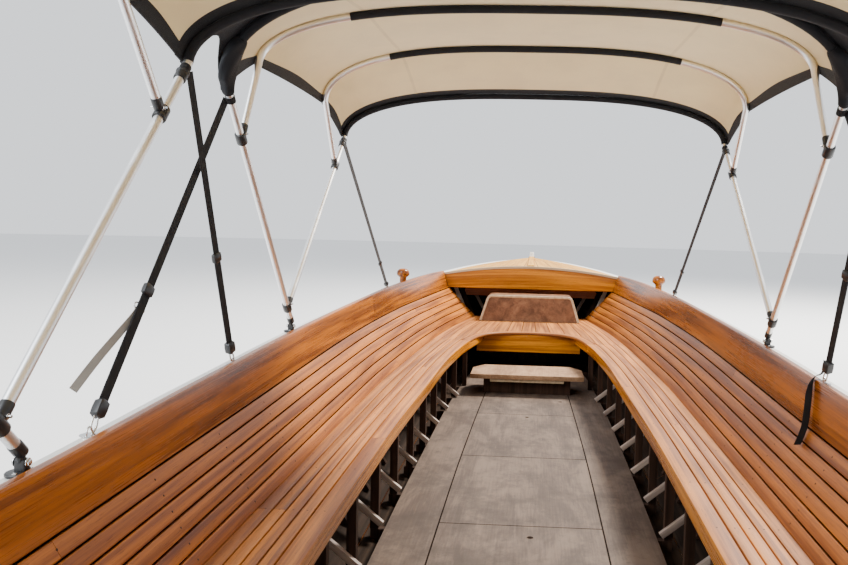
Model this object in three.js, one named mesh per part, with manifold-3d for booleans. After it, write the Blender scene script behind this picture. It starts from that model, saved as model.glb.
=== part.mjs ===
// An open wooden longtail passenger boat, afloat: varnished hull with slatted side benches,
// two cloth tops on bent tubes, and a long-shaft motor that swivels and tilts on the afterdeck.
// Millimetres. +X is the bow, +Y port, +Z up. The origin is amidships at the waterline.
import * as THREE from "three";
import { mergeVertices } from "three/addons/utils/BufferGeometryUtils.js";
import Module from "manifold-3d";

const wasm = await Module();
wasm.setup();

// Driving dimensions
const CLEAR = 0.3; // between pieces that touch
const PLANKING = 20; // thickness of the hull's planks
const FLOOR_TOP = -80;
const FLOOR_THICK = 12;
const BENCH_TOP = 275;
const BENCH_THICK = 20;
const BENCH_AFT = -4795;
const BENCH_SPLIT = 1500; // where the side benches meet the bow bench
const BOW_BENCH_FRONT = 2075;
const FASCIA_THICK = 18;
const SIDE_FASCIA_DEPTH = 50;
const BOW_FASCIA_DEPTH = 150;
const BACKREST_THICK = 16;
const COAMING_THICK = 25;
const COAMING_AFT = -5260;
const DECK_AFT_EDGE = 3250; // where the foredeck starts
const DECK_THICK = 18;
const DECK_CENTRE_Z = 771;
const RAIL_DROP = 20; // the outer rail lies this far below the coaming's top
const RAIL_HEIGHT = 26;
const RAIL_OUT = 80; // outer face of the rail, past the coaming's inner edge
const PLANK_OUT = 62; // outer face of the planking's top edge, past the same edge
const STEM_X = 6050;
const STEM_HALF = 40;
const TRANSOM_X = -6100;
const TRANSOM_THICK = 35;
const RIB_FIRST = -5190;
const RIB_PITCH = 420;
const RIB_COUNT = 20;
const RIB_THICK = 34;
const TUBE_R = 12.7;

// Curves of the hull, each a table of [x, value] rows.
const TABLES = {
  // half-breadth to the coaming's inner edge
  gunwaleY: [
    [-6100, 700], [-5200, 790], [-4200, 858], [-3150, 905], [-2250, 940], [-1150, 960],
    [0, 968], [850, 970], [1950, 950], [2750, 905], [3250, 850], [3900, 755], [4450, 650],
    [5050, 490], [5600, 285], [5900, 120], [6050, 5],
  ],
  gunwaleZ: [
    [-6100, 700], [-5200, 665], [-4200, 645], [-3150, 640], [-2250, 655], [-1150, 680],
    [0, 696], [850, 705], [1950, 706], [3250, 707], [4450, 728], [6050, 770],
  ],
  chineY: [
    [-6000, 470], [-5200, 540], [-4200, 590], [-3150, 615], [-2000, 632], [0, 640],
    [1000, 635], [1950, 605], [2750, 545], [3250, 480], [3800, 375], [4350, 250],
    [4850, 125], [5250, 40],
  ],
  chineZ: [
    [-6000, -85], [-5200, -120], [-4200, -138], [-3150, -145], [0, -147], [1950, -140],
    [2750, -128], [3250, -110], [3800, -80], [4350, -45], [4850, 5], [5250, 70],
  ],
  keelZ: [
    [-5980, -150], [-5200, -205], [-4200, -240], [-3150, -258], [0, -265], [1950, -260],
    [3250, -235], [4200, -170], [4800, -75], [5150, 25],
  ],
  // inner face of the backrest's top edge, and its height
  backrestTopY: [
    [-5260, 762], [-4795, 798], [-3150, 885], [-2250, 905], [50, 950], [1100, 930], [2050, 872], [3250, 795],
  ],
  backrestTopZ: [[-4795, 500], [-3150, 505], [-2250, 515], [50, 540], [2050, 547], [3250, 547]],
  // where backrest and bench meet, and the bench's front edge
  junctionY: [
    [-4795, 690], [-2550, 770], [-250, 789], [50, 783], [1100, 745], [2150, 675], [3250, 535],
  ],
  benchFrontY: [
    [-4795, 470], [-2550, 543], [-1350, 551], [-450, 538], [450, 522], [1250, 475], [1500, 446],
  ],
  floorSeamY: [[-5250, 290], [-3150, 330], [-1000, 334], [1350, 303], [2300, 270]],
  floorEdgeY: [
    [-5250, 455], [-3150, 520], [-1000, 543], [500, 538], [1250, 518], [1950, 488], [2300, 450],
  ],
};

const clamp = (value, low, high) => Math.min(high, Math.max(low, value));
const lerp = (a, b, t) => a + (b - a) * t;

// Smooth value at x of a table of [x, value] rows: cubic pieces with no overshoot.
function smooth(rows, x) {
  const last = rows.length - 1;
  const slope = (i) => (rows[i + 1][1] - rows[i][1]) / (rows[i + 1][0] - rows[i][0]);
  const tangent = (i) => {
    if (i === 0) return slope(0);
    if (i === last) return slope(last - 1);
    const a = slope(i - 1);
    const b = slope(i);
    return a * b <= 0 ? 0 : (2 * a * b) / (a + b);
  };
  if (x <= rows[0][0]) return rows[0][1];
  if (x >= rows[last][0]) return rows[last][1];
  const i = rows.findIndex((row, k) => k < last && x < rows[k + 1][0]);
  const width = rows[i + 1][0] - rows[i][0];
  const t = (x - rows[i][0]) / width;
  const [p, q, m, n] = [rows[i][1], rows[i + 1][1], tangent(i) * width, tangent(i + 1) * width];
  return (
    p * (2 * t ** 3 - 3 * t ** 2 + 1) +
    m * (t ** 3 - 2 * t ** 2 + t) +
    q * (3 * t ** 2 - 2 * t ** 3) +
    n * (t ** 3 - t ** 2)
  );
}

const ribX = Array.from({ length: RIB_COUNT }, (_, i) => RIB_FIRST + RIB_PITCH * i);
// Every second rib, and each one where the sides start to close in.
const STATIONS = [
  TRANSOM_X, -5650, ...ribX.filter((x, i) => i % 2 === 0 || x > 1600), DECK_AFT_EDGE,
  3800, 4350, 4850, 5250, 5600, 5860, STEM_X,
];

// The stretch between two stations that x lies in, and x's share of it.
function stretch(x) {
  const last = STATIONS.length - 2;
  const i = x >= STATIONS[last] ? last : Math.max(STATIONS.findIndex((s) => s > x) - 1, 0);
  return [i, (x - STATIONS[i]) / (STATIONS[i + 1] - STATIONS[i])];
}

// The tables read through straight lines between the stations, so that lofts with the same
// stations stay in contact.
const line = Object.fromEntries(
  Object.entries(TABLES).map(([name, rows]) => [
    name,
    (x) => {
      const [i, t] = stretch(x);
      return lerp(smooth(rows, STATIONS[i]), smooth(rows, STATIONS[i + 1]), t);
    },
  ]),
);

// Geometry tools
function geometryOf(points, triangles) {
  const g = new THREE.BufferGeometry();
  g.setAttribute("position", new THREE.Float32BufferAttribute(points.flat(), 3));
  g.setIndex(triangles.flat());
  return g;
}

function signedVolume(points, triangles) {
  let sum = 0;
  for (const [a, b, c] of triangles) {
    const [p, q, r] = [points[a], points[b], points[c]];
    sum +=
      p[0] * (q[1] * r[2] - q[2] * r[1]) -
      p[1] * (q[0] * r[2] - q[2] * r[0]) +
      p[2] * (q[0] * r[1] - q[1] * r[0]);
  }
  return sum;
}

// Triangles that fill an outline of Vector2 points, cut off one corner at a time, so that points
// on a straight edge keep their place.
function fill(outline) {
  const turn = Math.sign(THREE.ShapeUtils.area(outline));
  const cross = (a, b, c) =>
    turn * ((b.x - a.x) * (c.y - a.y) - (b.y - a.y) * (c.x - a.x));
  const left = outline.map((_, i) => i);
  const triangles = [];
  while (left.length > 3) {
    let best = null;
    for (let i = 0; i < left.length; i++) {
      const ids = [left.at(i - 1), left[i], left[(i + 1) % left.length]];
      const [a, b, c] = ids.map((k) => outline[k]);
      const area = cross(a, b, c);
      const longest = Math.max(a.distanceToSquared(b), b.distanceToSquared(c), a.distanceToSquared(c));
      const shape = area / longest;
      if (shape < 1e-7 || (best && shape <= best.shape)) continue;
      const blocked = left.some((k) => {
        const p = outline[k];
        if (ids.includes(k)) return false;
        return [cross(a, b, p), cross(b, c, p), cross(c, a, p)].every((v) => v > -1e-7);
      });
      if (!blocked) best = { i, ids, shape };
    }
    if (best === null) throw new Error("an outline crosses itself");
    triangles.push(best.ids);
    left.splice(best.i, 1);
  }
  triangles.push(left);
  return triangles;
}

// A closed solid through rings of equal length; [u, v] are the axes in which an end is filled.
function loft(rings, [u, v] = [1, 2]) {
  const n = rings[0].length;
  const points = rings.flat();
  const triangles = walls(rings);
  const flat = (ring) => ring.map((p) => new THREE.Vector2(p[u], p[v]));
  fill(flat(rings[0])).forEach(([a, b, c]) => triangles.push([c, b, a]));
  const end = (rings.length - 1) * n;
  fill(flat(rings.at(-1))).forEach(([a, b, c]) => triangles.push([end + a, end + b, end + c]));
  if (signedVolume(points, triangles) < 0) triangles.forEach((t) => t.reverse());
  return geometryOf(points, triangles);
}

// Two triangles between each pair of points of neighbouring rings.
function walls(rings) {
  const n = rings[0].length;
  const triangles = [];
  for (let i = 0; i + 1 < rings.length; i++)
    for (let j = 0; j < n; j++) {
      const k = (j + 1) % n;
      const [a, b, c, d] = [i * n + j, i * n + k, (i + 1) * n + k, (i + 1) * n + j];
      triangles.push([a, b, c], [a, c, d]);
    }
  return triangles;
}

// A section of [side, up] points carried along a path of points, square to it.
function sweep(path, section, up = new THREE.Vector3(0, 0, 1)) {
  const at = path.map((p) => new THREE.Vector3(...p));
  let side = null;
  const rings = at.map((p, i) => {
    const before = at[Math.max(i - 1, 0)];
    const after = at[Math.min(i + 1, at.length - 1)];
    const ahead = after.clone().sub(before).normalize();
    side = side === null ? new THREE.Vector3().crossVectors(ahead, up) : side;
    side = side.clone().addScaledVector(ahead, -side.dot(ahead)).normalize();
    const top = new THREE.Vector3().crossVectors(side, ahead);
    return section.map(([a, b]) =>
      p.clone().addScaledVector(side, a).addScaledVector(top, b).toArray(),
    );
  });
  return closedTube(rings);
}

// A closed solid through convex rings, each end filled as a fan.
function closedTube(rings) {
  const n = rings[0].length;
  const points = rings.flat();
  const triangles = walls(rings);
  const end = (rings.length - 1) * n;
  for (let j = 1; j + 1 < n; j++) triangles.push([0, j + 1, j], [end, end + j, end + j + 1]);
  if (signedVolume(points, triangles) < 0) triangles.forEach((t) => t.reverse());
  return geometryOf(points, triangles);
}

const circle = (r, sides = 8) =>
  Array.from({ length: sides }, (_, i) => {
    const a = (2 * Math.PI * (i + 0.5)) / sides;
    return [r * Math.cos(a), r * Math.sin(a)];
  });
const rectangle = (w, h) => [[-w / 2, -h / 2], [w / 2, -h / 2], [w / 2, h / 2], [-w / 2, h / 2]];

// A box from its lowest to its highest corner.
function box(low, high) {
  const size = high.map((value, i) => value - low[i]);
  const g = new THREE.BoxGeometry(...size);
  return g.translate(...low.map((value, i) => value + size[i] / 2));
}

// A round bar between two points along one axis of the frame.
function bar(axis, centre, from, to, radius, radiusTo = radius, sides = 16) {
  const g = new THREE.CylinderGeometry(radiusTo, radius, to - from, sides);
  if (axis === "x") g.rotateZ(-Math.PI / 2);
  if (axis === "z") g.rotateX(Math.PI / 2);
  const at = [...centre];
  at["xyz".indexOf(axis)] = (from + to) / 2;
  return g.translate(...at);
}

// A flat outline of [x, y] points, raised from one height to another.
function slab(outline, low, high) {
  return loft([outline.map(([x, y]) => [x, y, low]), outline.map(([x, y]) => [x, y, high])], [0, 1]);
}

// An outline of [y, z] points, carried from one x to another.
function board(outline, from, to) {
  return loft([outline.map(([y, z]) => [from, y, z]), outline.map(([y, z]) => [to, y, z])]);
}

// An outline of [x, z] points, carried from one y to another.
function cheek(outline, from, to) {
  return loft([outline.map(([x, z]) => [x, from, z]), outline.map(([x, z]) => [x, to, z])], [0, 2]);
}

function solidOf(g) {
  const bare = g.clone();
  bare.deleteAttribute("normal");
  bare.deleteAttribute("uv");
  const merged = mergeVertices(bare, 1e-4);
  return new wasm.Manifold(
    new wasm.Mesh({
      numProp: 3,
      vertProperties: new Float32Array(merged.attributes.position.array),
      triVerts: new Uint32Array(merged.index.array),
    }),
  );
}

function geometryFrom(solid) {
  const m = solid.getMesh();
  const g = new THREE.BufferGeometry();
  g.setAttribute("position", new THREE.BufferAttribute(new Float32Array(m.vertProperties), 3));
  g.setIndex(new THREE.BufferAttribute(new Uint32Array(m.triVerts), 1));
  return g;
}

const joined = (...list) => geometryFrom(list.map(solidOf).reduce((a, b) => a.add(b)));
const cut = (g, ...tools) =>
  geometryFrom(tools.map(solidOf).reduce((a, b) => a.subtract(b), solidOf(g)));

// The same piece on the other side of the centreline.
function mirrored(g) {
  const copy = g.clone();
  const p = copy.attributes.position;
  for (let i = 0; i < p.count; i++) p.setY(i, -p.getY(i));
  const turned = [];
  const index = copy.index ? copy.index.array : Array.from({ length: p.count }, (_, i) => i);
  for (let i = 0; i < index.length; i += 3) turned.push(index[i], index[i + 2], index[i + 1]);
  copy.setIndex(turned);
  return copy;
}

// Finishes
const finish = (colour, roughness, metalness = 0) =>
  new THREE.MeshStandardMaterial({ color: colour, roughness, metalness });
const FINISH = {
  varnish: finish(0xb5651d, 0.3),
  slats: finish(0xa8704f, 0.45),
  plywood: finish(0x9b8468, 0.8),
  frame: finish(0x4a3524, 0.8),
  bottom: finish(0x4d3b2c, 0.7),
  white: finish(0xeeeae0, 0.4),
  deck: finish(0xd9a566, 0.35),
  tube: finish(0xc9ccd0, 0.25, 1),
  cloth: finish(0xe9e2cf, 0.9),
  webbing: finish(0x15171b, 0.8),
  engine: finish(0x5a6066, 0.5, 0.6),
  steel: finish(0x8a8d90, 0.4, 1),
  rust: finish(0x6b5a4c, 0.7, 0.7),
  brass: finish(0xb08d45, 0.35, 1),
};

const boat = new THREE.Group();
function add(name, geometry, material, parent = boat) {
  const mesh = new THREE.Mesh(geometry, material);
  mesh.name = name;
  parent.add(mesh);
  return mesh;
}
function addPair(name, port, material) {
  add(`${name}_port`, port, material);
  add(`${name}_starboard`, mirrored(port), material);
}

// Hull planking. A side runs from the chine, where it leaves flat, to the sheer; forward of the
// deck's edge the stations lean forward, to follow the raked stem.
const LEAN_AFT = 5200;
const chineX = (x) => {
  if (x < -LEAN_AFT) return lerp(-LEAN_AFT, -6000, (-LEAN_AFT - x) / 900);
  return x > DECK_AFT_EDGE ? lerp(DECK_AFT_EDGE, 5250, (x - DECK_AFT_EDGE) / 2800) : x;
};
const keelX = (x) => {
  if (x < -LEAN_AFT) return lerp(-LEAN_AFT, -5991, (-LEAN_AFT - x) / 900);
  return x > DECK_AFT_EDGE ? lerp(DECK_AFT_EDGE, 5150, (x - DECK_AFT_EDGE) / 2800) : x;
};
const bowShare = (x) => clamp((x - 5400) / (STEM_X - 5400), 0, 1);
const plankOut = (x) => PLANK_OUT - 24 * bowShare(x);
const railOut = (x) => RAIL_OUT - 24 * bowShare(x);
const fullness = (x) => lerp(2, 1.15, clamp((x - 2500) / (STEM_X - 2500), 0, 1) ** 0.7);
const SIDE_STEPS = [0, 0.17, 0.34, 0.51, 0.68, 0.84, 1];
const BOTTOM_STEPS = [-1, -0.66, -0.33, 0, 0.33, 0.66, 1];

function sidePoint(x, t) {
  const foot = chineX(x);
  const rise = t ** fullness(x);
  const [y0, z0] = [smooth(TABLES.chineY, foot), smooth(TABLES.chineZ, foot)];
  const y1 = smooth(TABLES.gunwaleY, x) + plankOut(x);
  const z1 = smooth(TABLES.gunwaleZ, x) - RAIL_DROP - RAIL_HEIGHT;
  return new THREE.Vector3(lerp(foot, x, rise), lerp(y0, y1, t), lerp(z0, z1, rise));
}

function bottomPoint(x, v) {
  const a = Math.abs(v);
  const [foot, keel] = [chineX(x), keelX(x)];
  const [y0, z0] = [smooth(TABLES.chineY, foot), smooth(TABLES.chineZ, foot)];
  const z1 = smooth(TABLES.keelZ, keel);
  return new THREE.Vector3(lerp(keel, foot, a), v * y0, lerp(z1, z0, a ** 1.15));
}

// The step from a point of the outer surface to the inner one, in the station's own plane.
function inward(surface, x, t, step, low, high) {
  const along = surface(x + step, t).sub(surface(x - step, t));
  const across = surface(x, Math.min(t + 0.02, high)).sub(surface(x, Math.max(t - 0.02, low)));
  const normal = new THREE.Vector3().crossVectors(along, across).normalize();
  const flat = Math.hypot(normal.y, normal.z);
  return new THREE.Vector3(0, normal.y, normal.z).multiplyScalar(PLANKING / flat ** 2);
}

function chineMitre(x) {
  const a = inward(sidePoint, x, 0, 5, 0, 1).normalize();
  const b = inward(bottomPoint, x, 1, 5, -1, 1).normalize();
  const side = a.z < 0 ? a.negate() : a;
  const bottom = b.z < 0 ? b.negate() : b;
  const half = side.clone().add(bottom).normalize();
  return half.multiplyScalar(PLANKING / Math.max(half.dot(bottom), 0.5));
}

function sideRing(x) {
  const outer = SIDE_STEPS.map((t) => sidePoint(x, t));
  const inner = outer.map((p, i) => {
    const t = SIDE_STEPS[i];
    if (i === 0) return p.clone().add(chineMitre(x));
    const step = inward(sidePoint, x, t, 5, 0, 1);
    if (step.y > 0) step.negate();
    const q = p.clone().add(step);
    if (t === 1) q.z = p.z;
    return q;
  });
  inner.forEach((p) => (p.y = Math.max(p.y, CLEAR)));
  const lift = outer[1].clone().sub(outer[0]).normalize().multiplyScalar(CLEAR);
  outer[0].add(lift);
  inner[0].add(lift);
  return { outer, inner };
}
const sideRings = STATIONS.map(sideRing);

// The inner face of the planking at x, as [y, z] points from the chine up, aft of the foredeck.
function innerSide(x) {
  const [i, t] = stretch(x);
  const [a, b] = [sideRings[i].inner, sideRings[i + 1].inner];
  return a.map((p, k) => [lerp(p.y, b[k].y, t), lerp(p.z, b[k].z, t)]);
}
function innerY(x, z) {
  const points = innerSide(x);
  const k = clamp(points.findIndex((p) => p[1] > z) - 1, 0, points.length - 2);
  const t = (z - points[k][1]) / (points[k + 1][1] - points[k][1]);
  return lerp(points[k][0], points[k + 1][0], t);
}
// The same over the whole thickness of a frame, whichever face is narrower.
const innerOver = (x, z, half) => Math.min(innerY(x - half, z), innerY(x + half, z));

// Each side's planks are butted at the first rib.
const QUARTER_BUTT = STATIONS.indexOf(RIB_FIRST);
const sideSections = sideRings.map(({ outer, inner }) =>
  [...outer, ...inner.toReversed()].map((p) => p.toArray()),
);
const [buttSection, ...foreSections] = sideSections.slice(QUARTER_BUTT);
const pastButt = buttSection.map(([x, y, z]) => [x + CLEAR, y, z]);
addPair("hull_side", loft([pastButt, ...foreSections]), FINISH.varnish);
addPair("hull_quarter", loft(sideSections.slice(0, QUARTER_BUTT + 1)), FINISH.varnish);

function bottomRing(x) {
  const outer = BOTTOM_STEPS.map((v) => bottomPoint(x, v));
  const inner = outer.map((p, i) => {
    const v = BOTTOM_STEPS[i];
    if (Math.abs(v) === 1) {
      const m = chineMitre(x);
      return p.clone().add(new THREE.Vector3(0, v * m.y, m.z));
    }
    if (v === 0) return p.clone().add(new THREE.Vector3(0, 0, PLANKING));
    const step = inward(bottomPoint, x, v, 5, -1, 1);
    return p.clone().add(step.z < 0 ? step.negate() : step);
  });
  return { outer, inner };
}
const bottomRings = STATIONS.map(bottomRing);
add(
  "hull_bottom",
  loft(
    bottomRings.map(({ outer, inner }) =>
      [...outer, ...inner.toReversed()].map((p) => p.toArray()),
    ),
  ),
  FINISH.bottom,
);

// Height of the bottom's inner face at x and y.
function innerBottomZ(x, y) {
  const [i, t] = stretch(x);
  const [a, b] = [bottomRings[i].inner, bottomRings[i + 1].inner];
  const points = a.map((p, k) => [lerp(p.y, b[k].y, t), lerp(p.z, b[k].z, t)]);
  const k = clamp(points.findIndex((p) => p[0] > y) - 1, 0, points.length - 2);
  const s = clamp((y - points[k][0]) / (points[k + 1][0] - points[k][0]), 0, 1);
  return lerp(points[k][1], points[k + 1][1], s);
}

// The transom: the outline of the planking's aft end, set behind it.
const aftSide = sideRings[0].outer.slice(1).map((p) => [p.y, p.z]);
const transomTop = line.gunwaleZ(TRANSOM_X) + 8;
const transomCorner = [line.gunwaleY(TRANSOM_X) + COAMING_THICK, transomTop];
const toPort = ([y, z]) => [-y, z];
const sheerAft = aftSide.at(-1)[1];
const rake = (-6000 - TRANSOM_X) / (sheerAft - smooth(TABLES.chineZ, -6000));
const transomOutline = [
  ...bottomRings[0].outer.map((p) => [p.y, p.z]),
  ...aftSide,
  transomCorner,
  toPort(transomCorner),
  ...aftSide.toReversed().map(toPort),
].map(([y, z]) => [TRANSOM_X - rake * (z - sheerAft), y, z]);
const setBack = (points, by) => points.map(([x, y, z]) => [x - by, y, z]);
add(
  "transom",
  loft([TRANSOM_THICK, 0].map((by) => setBack(transomOutline, by + 2 * CLEAR))),
  FINISH.varnish,
);

// Keel and stem in one profile: along the bottom's centreline and up the raked bow.
const KEEL_DEPTH = 45;
const FOREFOOT_GAP = 6; // the profile is a little fuller than the planking where they turn up
const keelLine = STATIONS.map((x) => {
  const p = bottomPoint(x, 0);
  return [p.x, p.z - CLEAR - FOREFOOT_GAP * clamp((p.x - 4700) / 300, 0, 1)];
});
const stemLine = [0, 0.34, 0.68, 1].map((t) => {
  const p = sidePoint(STEM_X, t);
  return [p.x + 2 * CLEAR, p.z - (t === 0 ? FOREFOOT_GAP : CLEAR)];
});
const STEM_TOP = 776;
const keelProfile = [
  ...keelLine,
  ...stemLine,
  [STEM_X + 2 * CLEAR, STEM_TOP],
  [STEM_X + 78, STEM_TOP],
  [5905, 520],
  [5640, 250],
  [5400, 40],
  [5160, -60],
  [4820, -142],
  ...keelLine.slice(2, -5).reverse().map(([x, z]) => [x, z - KEEL_DEPTH]),
  [keelLine[0][0] + 40, keelLine[0][1] - 20],
];
const stemHead = box([STEM_X + 12, -24, STEM_TOP - 1], [STEM_X + 62, 24, STEM_TOP + 62]);
add(
  "keel_and_stem",
  joined(cheek(keelProfile, -STEM_HALF, STEM_HALF), stemHead),
  FINISH.bottom,
);

// Rails: the white outer edge, on top of the planking.
const rail = loft(
  STATIONS.map((x) => {
    const [y, z] = [line.gunwaleY(x), line.gunwaleZ(x)];
    const [low, high] = [z - RAIL_DROP - RAIL_HEIGHT + CLEAR, z - RAIL_DROP];
    const from = y + COAMING_THICK + CLEAR;
    const to = y + railOut(x);
    return [
      [x, from, low], [x, to - 6, low], [x, to, low + 8],
      [x, to, high - 6], [x, to - 6, high], [x, from, high],
    ];
  }),
);
addPair("rail", rail, FINISH.white);

const innerStations = (from, to) => [from, ...STATIONS.filter((x) => x > from && x < to), to];

// Coamings: the deep varnished boards above the backrests.
const coamingBottom = (x) => [line.backrestTopY(x) + 2, line.backrestTopZ(x) + CLEAR];
const coaming = loft(
  innerStations(COAMING_AFT, DECK_AFT_EDGE - CLEAR).map((x) => {
    const [y, z] = coamingBottom(x);
    const [top, height] = [line.gunwaleY(x), line.gunwaleZ(x)];
    return [[x, y, z], [x, y + COAMING_THICK, z], [x, top + COAMING_THICK, height], [x, top, height]];
  }),
);
addPair("coaming", coaming, FINISH.varnish);

// Grooves between planks: shallow notches along a line from a to b, at shares of its length.
function grooved(a, b, places, depth, half) {
  const length = Math.hypot(b[0] - a[0], b[1] - a[1]);
  const dir = [(b[0] - a[0]) / length, (b[1] - a[1]) / length];
  const into = [dir[1], -dir[0]];
  const point = (s, d) => [a[0] + dir[0] * s + into[0] * d, a[1] + dir[1] * s + into[1] * d];
  return [
    a,
    ...places.flatMap((share) => {
      const s = share * length;
      return [point(s - half, 0), point(s, depth), point(s + half, 0)];
    }),
    b,
  ];
}

// Side benches: five planks and a front fascia, butted at a rib.
const BENCH_PLANKS = [0.265, 0.449, 0.633, 0.816];
const BENCH_UNDER_BACKREST = 24;
const BENCH_BUTT = ribX[12];
const bench = (from, to) =>
  loft(
    innerStations(from, to).map((x) => {
      const [front, back] = [line.benchFrontY(x), line.junctionY(x)];
      const low = BENCH_TOP - BENCH_THICK;
      return [
        ...grooved([front, BENCH_TOP], [back, BENCH_TOP], BENCH_PLANKS, 5, 2.5),
        [back + BENCH_UNDER_BACKREST, BENCH_TOP],
        [back + BENCH_UNDER_BACKREST, low],
        [front + FASCIA_THICK, low],
        [front + FASCIA_THICK, low - SIDE_FASCIA_DEPTH],
        [front, low - SIDE_FASCIA_DEPTH],
      ].map(([y, z]) => [x, y, z]);
    }),
  );
addPair("bench_aft", bench(BENCH_AFT, BENCH_BUTT - CLEAR), FINISH.slats);
addPair("bench_fore", bench(BENCH_BUTT, BENCH_SPLIT - CLEAR), FINISH.slats);

// Bow bench: one board across, with a rounded front edge and a deeper fascia.
const BOW_EDGE_HALF = line.benchFrontY(BENCH_SPLIT);
const BOW_EDGE = [
  [BENCH_SPLIT, BOW_EDGE_HALF], [1650, 424], [1800, 392], [1915, 348], [1995, 285],
  [2042, 205], [2066, 110], [BOW_BENCH_FRONT, 0],
];
const bowEdge = [...BOW_EDGE, ...BOW_EDGE.slice(0, -1).reverse().map(([x, y]) => [x, -y])];
const bowBack = innerStations(BENCH_SPLIT, DECK_AFT_EDGE - CLEAR).map((x) => [
  x, line.junctionY(x) + BENCH_UNDER_BACKREST,
]);
const bowOutline = [
  ...bowEdge,
  ...bowBack.map(([x, y]) => [x, -y]),
  ...bowBack.toReversed(),
];
// The front edge moved forward by a thickness, square to itself.
function offsetEdge(edge, by) {
  return edge.map(([x, y], i) => {
    const [a, b] = [edge[Math.max(i - 1, 0)], edge[Math.min(i + 1, edge.length - 1)]];
    const length = Math.hypot(b[0] - a[0], b[1] - a[1]);
    return [x - (by * (b[1] - a[1])) / length, y + (by * (b[0] - a[0])) / length];
  });
}
const fasciaInner = offsetEdge(bowEdge, FASCIA_THICK).map(([x, y], i, all) =>
  i === 0 || i === all.length - 1
    ? [BENCH_SPLIT, Math.sign(y) * (BOW_EDGE_HALF + FASCIA_THICK)]
    : [x, y],
);
add(
  "bench_bow",
  joined(
    slab(bowOutline, BENCH_TOP - BENCH_THICK, BENCH_TOP),
    slab([...bowEdge, ...fasciaInner.reverse()], BENCH_TOP - BOW_FASCIA_DEPTH, BENCH_TOP - 5),
  ),
  FINISH.slats,
);

// Backrests: six leaning slats, on knees that reach out to the planking at each rib.
const SLATS = [1 / 6, 2 / 6, 3 / 6, 4 / 6, 5 / 6];
const backrestFoot = (x) => [line.junctionY(x), BENCH_TOP + CLEAR];
const backrestTop = (x) => [line.backrestTopY(x), line.backrestTopZ(x)];
function backrestRing(x) {
  const [a, b] = [backrestFoot(x), backrestTop(x)];
  const length = Math.hypot(b[0] - a[0], b[1] - a[1]);
  const out = [b[1] - a[1], a[0] - b[0]].map((v) => (v / length) * BACKREST_THICK);
  const foot = [a[0] + BENCH_UNDER_BACKREST - 2, a[1]];
  return [
    ...grooved(a, b, SLATS, 5, 2),
    [b[0] + COAMING_THICK, b[1]],
    [b[0] + out[0] + 2, b[1] + out[1] - 8],
    [a[0] + out[0], a[1] + 6],
    foot,
  ].map(([y, z]) => [x, y, z]);
}
const KNEE_THICK = 30;
function knee(x) {
  const half = KNEE_THICK / 2;
  const [a, b] = [backrestFoot(x), backrestTop(x)];
  const low = a[1] + 14;
  const high = b[1] - 12;
  const slope = (b[0] - a[0]) / (b[1] - a[1]);
  const front = (z) => a[0] + slope * (z - a[1]) + 6;
  const outline = [
    [front(low), low],
    [front(high), high],
    ...[high, low].map((z) => [innerOver(x, z, half) - 1, z]),
  ];
  return board(outline, x - half, x + half);
}
const benchRibs = ribX.filter((x) => x > BENCH_AFT && x < DECK_AFT_EDGE);
const backrest = joined(
  loft(innerStations(BENCH_AFT, DECK_AFT_EDGE - CLEAR).map(backrestRing)),
  ...benchRibs.map(knee),
);
addPair("backrest", backrest, FINISH.slats);

// Floor timbers: a cross piece at each rib, on a keelson.
const FLOOR_LOW = FLOOR_TOP - FLOOR_THICK - CLEAR;
const floorTimber = (x) => {
  const half = RIB_THICK / 2;
  const reach = line.floorEdgeY(x) + 62;
  const places = [-1, -0.5, 0, 0.5, 1].map((s) => s * Math.min(reach, line.chineY(x) - 24));
  const under = (y) => Math.max(innerBottomZ(x - half, y), innerBottomZ(x + half, y)) + 0.8;
  return board(
    [...places.map((y) => [y, under(y)]), [places.at(-1), FLOOR_LOW], [places[0], FLOOR_LOW]],
    x - half,
    x + half,
  );
};
const keelson = loft(
  innerStations(RIB_FIRST - 10, DECK_AFT_EDGE - 50).map((x) => {
    const low = innerBottomZ(x, 35) + 1;
    const high = Math.max(low + 40, FLOOR_LOW - 70);
    return [[x, -35, low], [x, 35, low], [x, 35, high], [x, -35, high]];
  }),
);
add("floor_timbers", joined(keelson, ...ribX.map(floorTimber)), FINISH.frame);

// Frames: at each rib a side futtock, the bearer that carries the bench, and a front post.
const FRAME_LOW = -78;
const RISER_HIGH = BENCH_TOP - BENCH_THICK - CLEAR;
function benchFrontAt(x) {
  if (x < BENCH_SPLIT) return line.benchFrontY(x);
  if (x >= BOW_BENCH_FRONT - 40) return -8;
  const i = BOW_EDGE.findIndex((row) => row[0] > x) - 1;
  const [a, b] = [BOW_EDGE[i], BOW_EDGE[i + 1]];
  return lerp(a[1], b[1], (x - a[0]) / (b[0] - a[0]));
}
function frame(x) {
  const half = RIB_THICK / 2;
  const [near, far] = [benchFrontAt(x - half), benchFrontAt(x + half)];
  const slant = Math.hypot(1, (far - near) / RIB_THICK);
  const front = Math.max(near, far) + FASCIA_THICK * Math.min(slant, 1.8) + 1.5;
  const post = front + 34;
  const bearer = RISER_HIGH - 40;
  const levels = [FRAME_LOW, 60, RISER_HIGH];
  const outer = levels.map((z) => [innerOver(x, z, half) - 1.2, z]);
  const deep = 36;
  const inner = [bearer, 60, FRAME_LOW].map((z) => [innerOver(x, z, half) - 1.2 - deep, z]);
  const onFloor = front < line.floorEdgeY(x - half) + 2;
  const foot = onFloor ? FLOOR_TOP + CLEAR : FLOOR_LOW + 2 * CLEAR;
  const leg = x < BOW_BENCH_FRONT - 40
    ? [[front, foot], [post, foot], [post, bearer]]
    : [[front, bearer]];
  return board([...outer, [front, RISER_HIGH], ...leg, ...inner], x - half, x + half);
}
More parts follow.
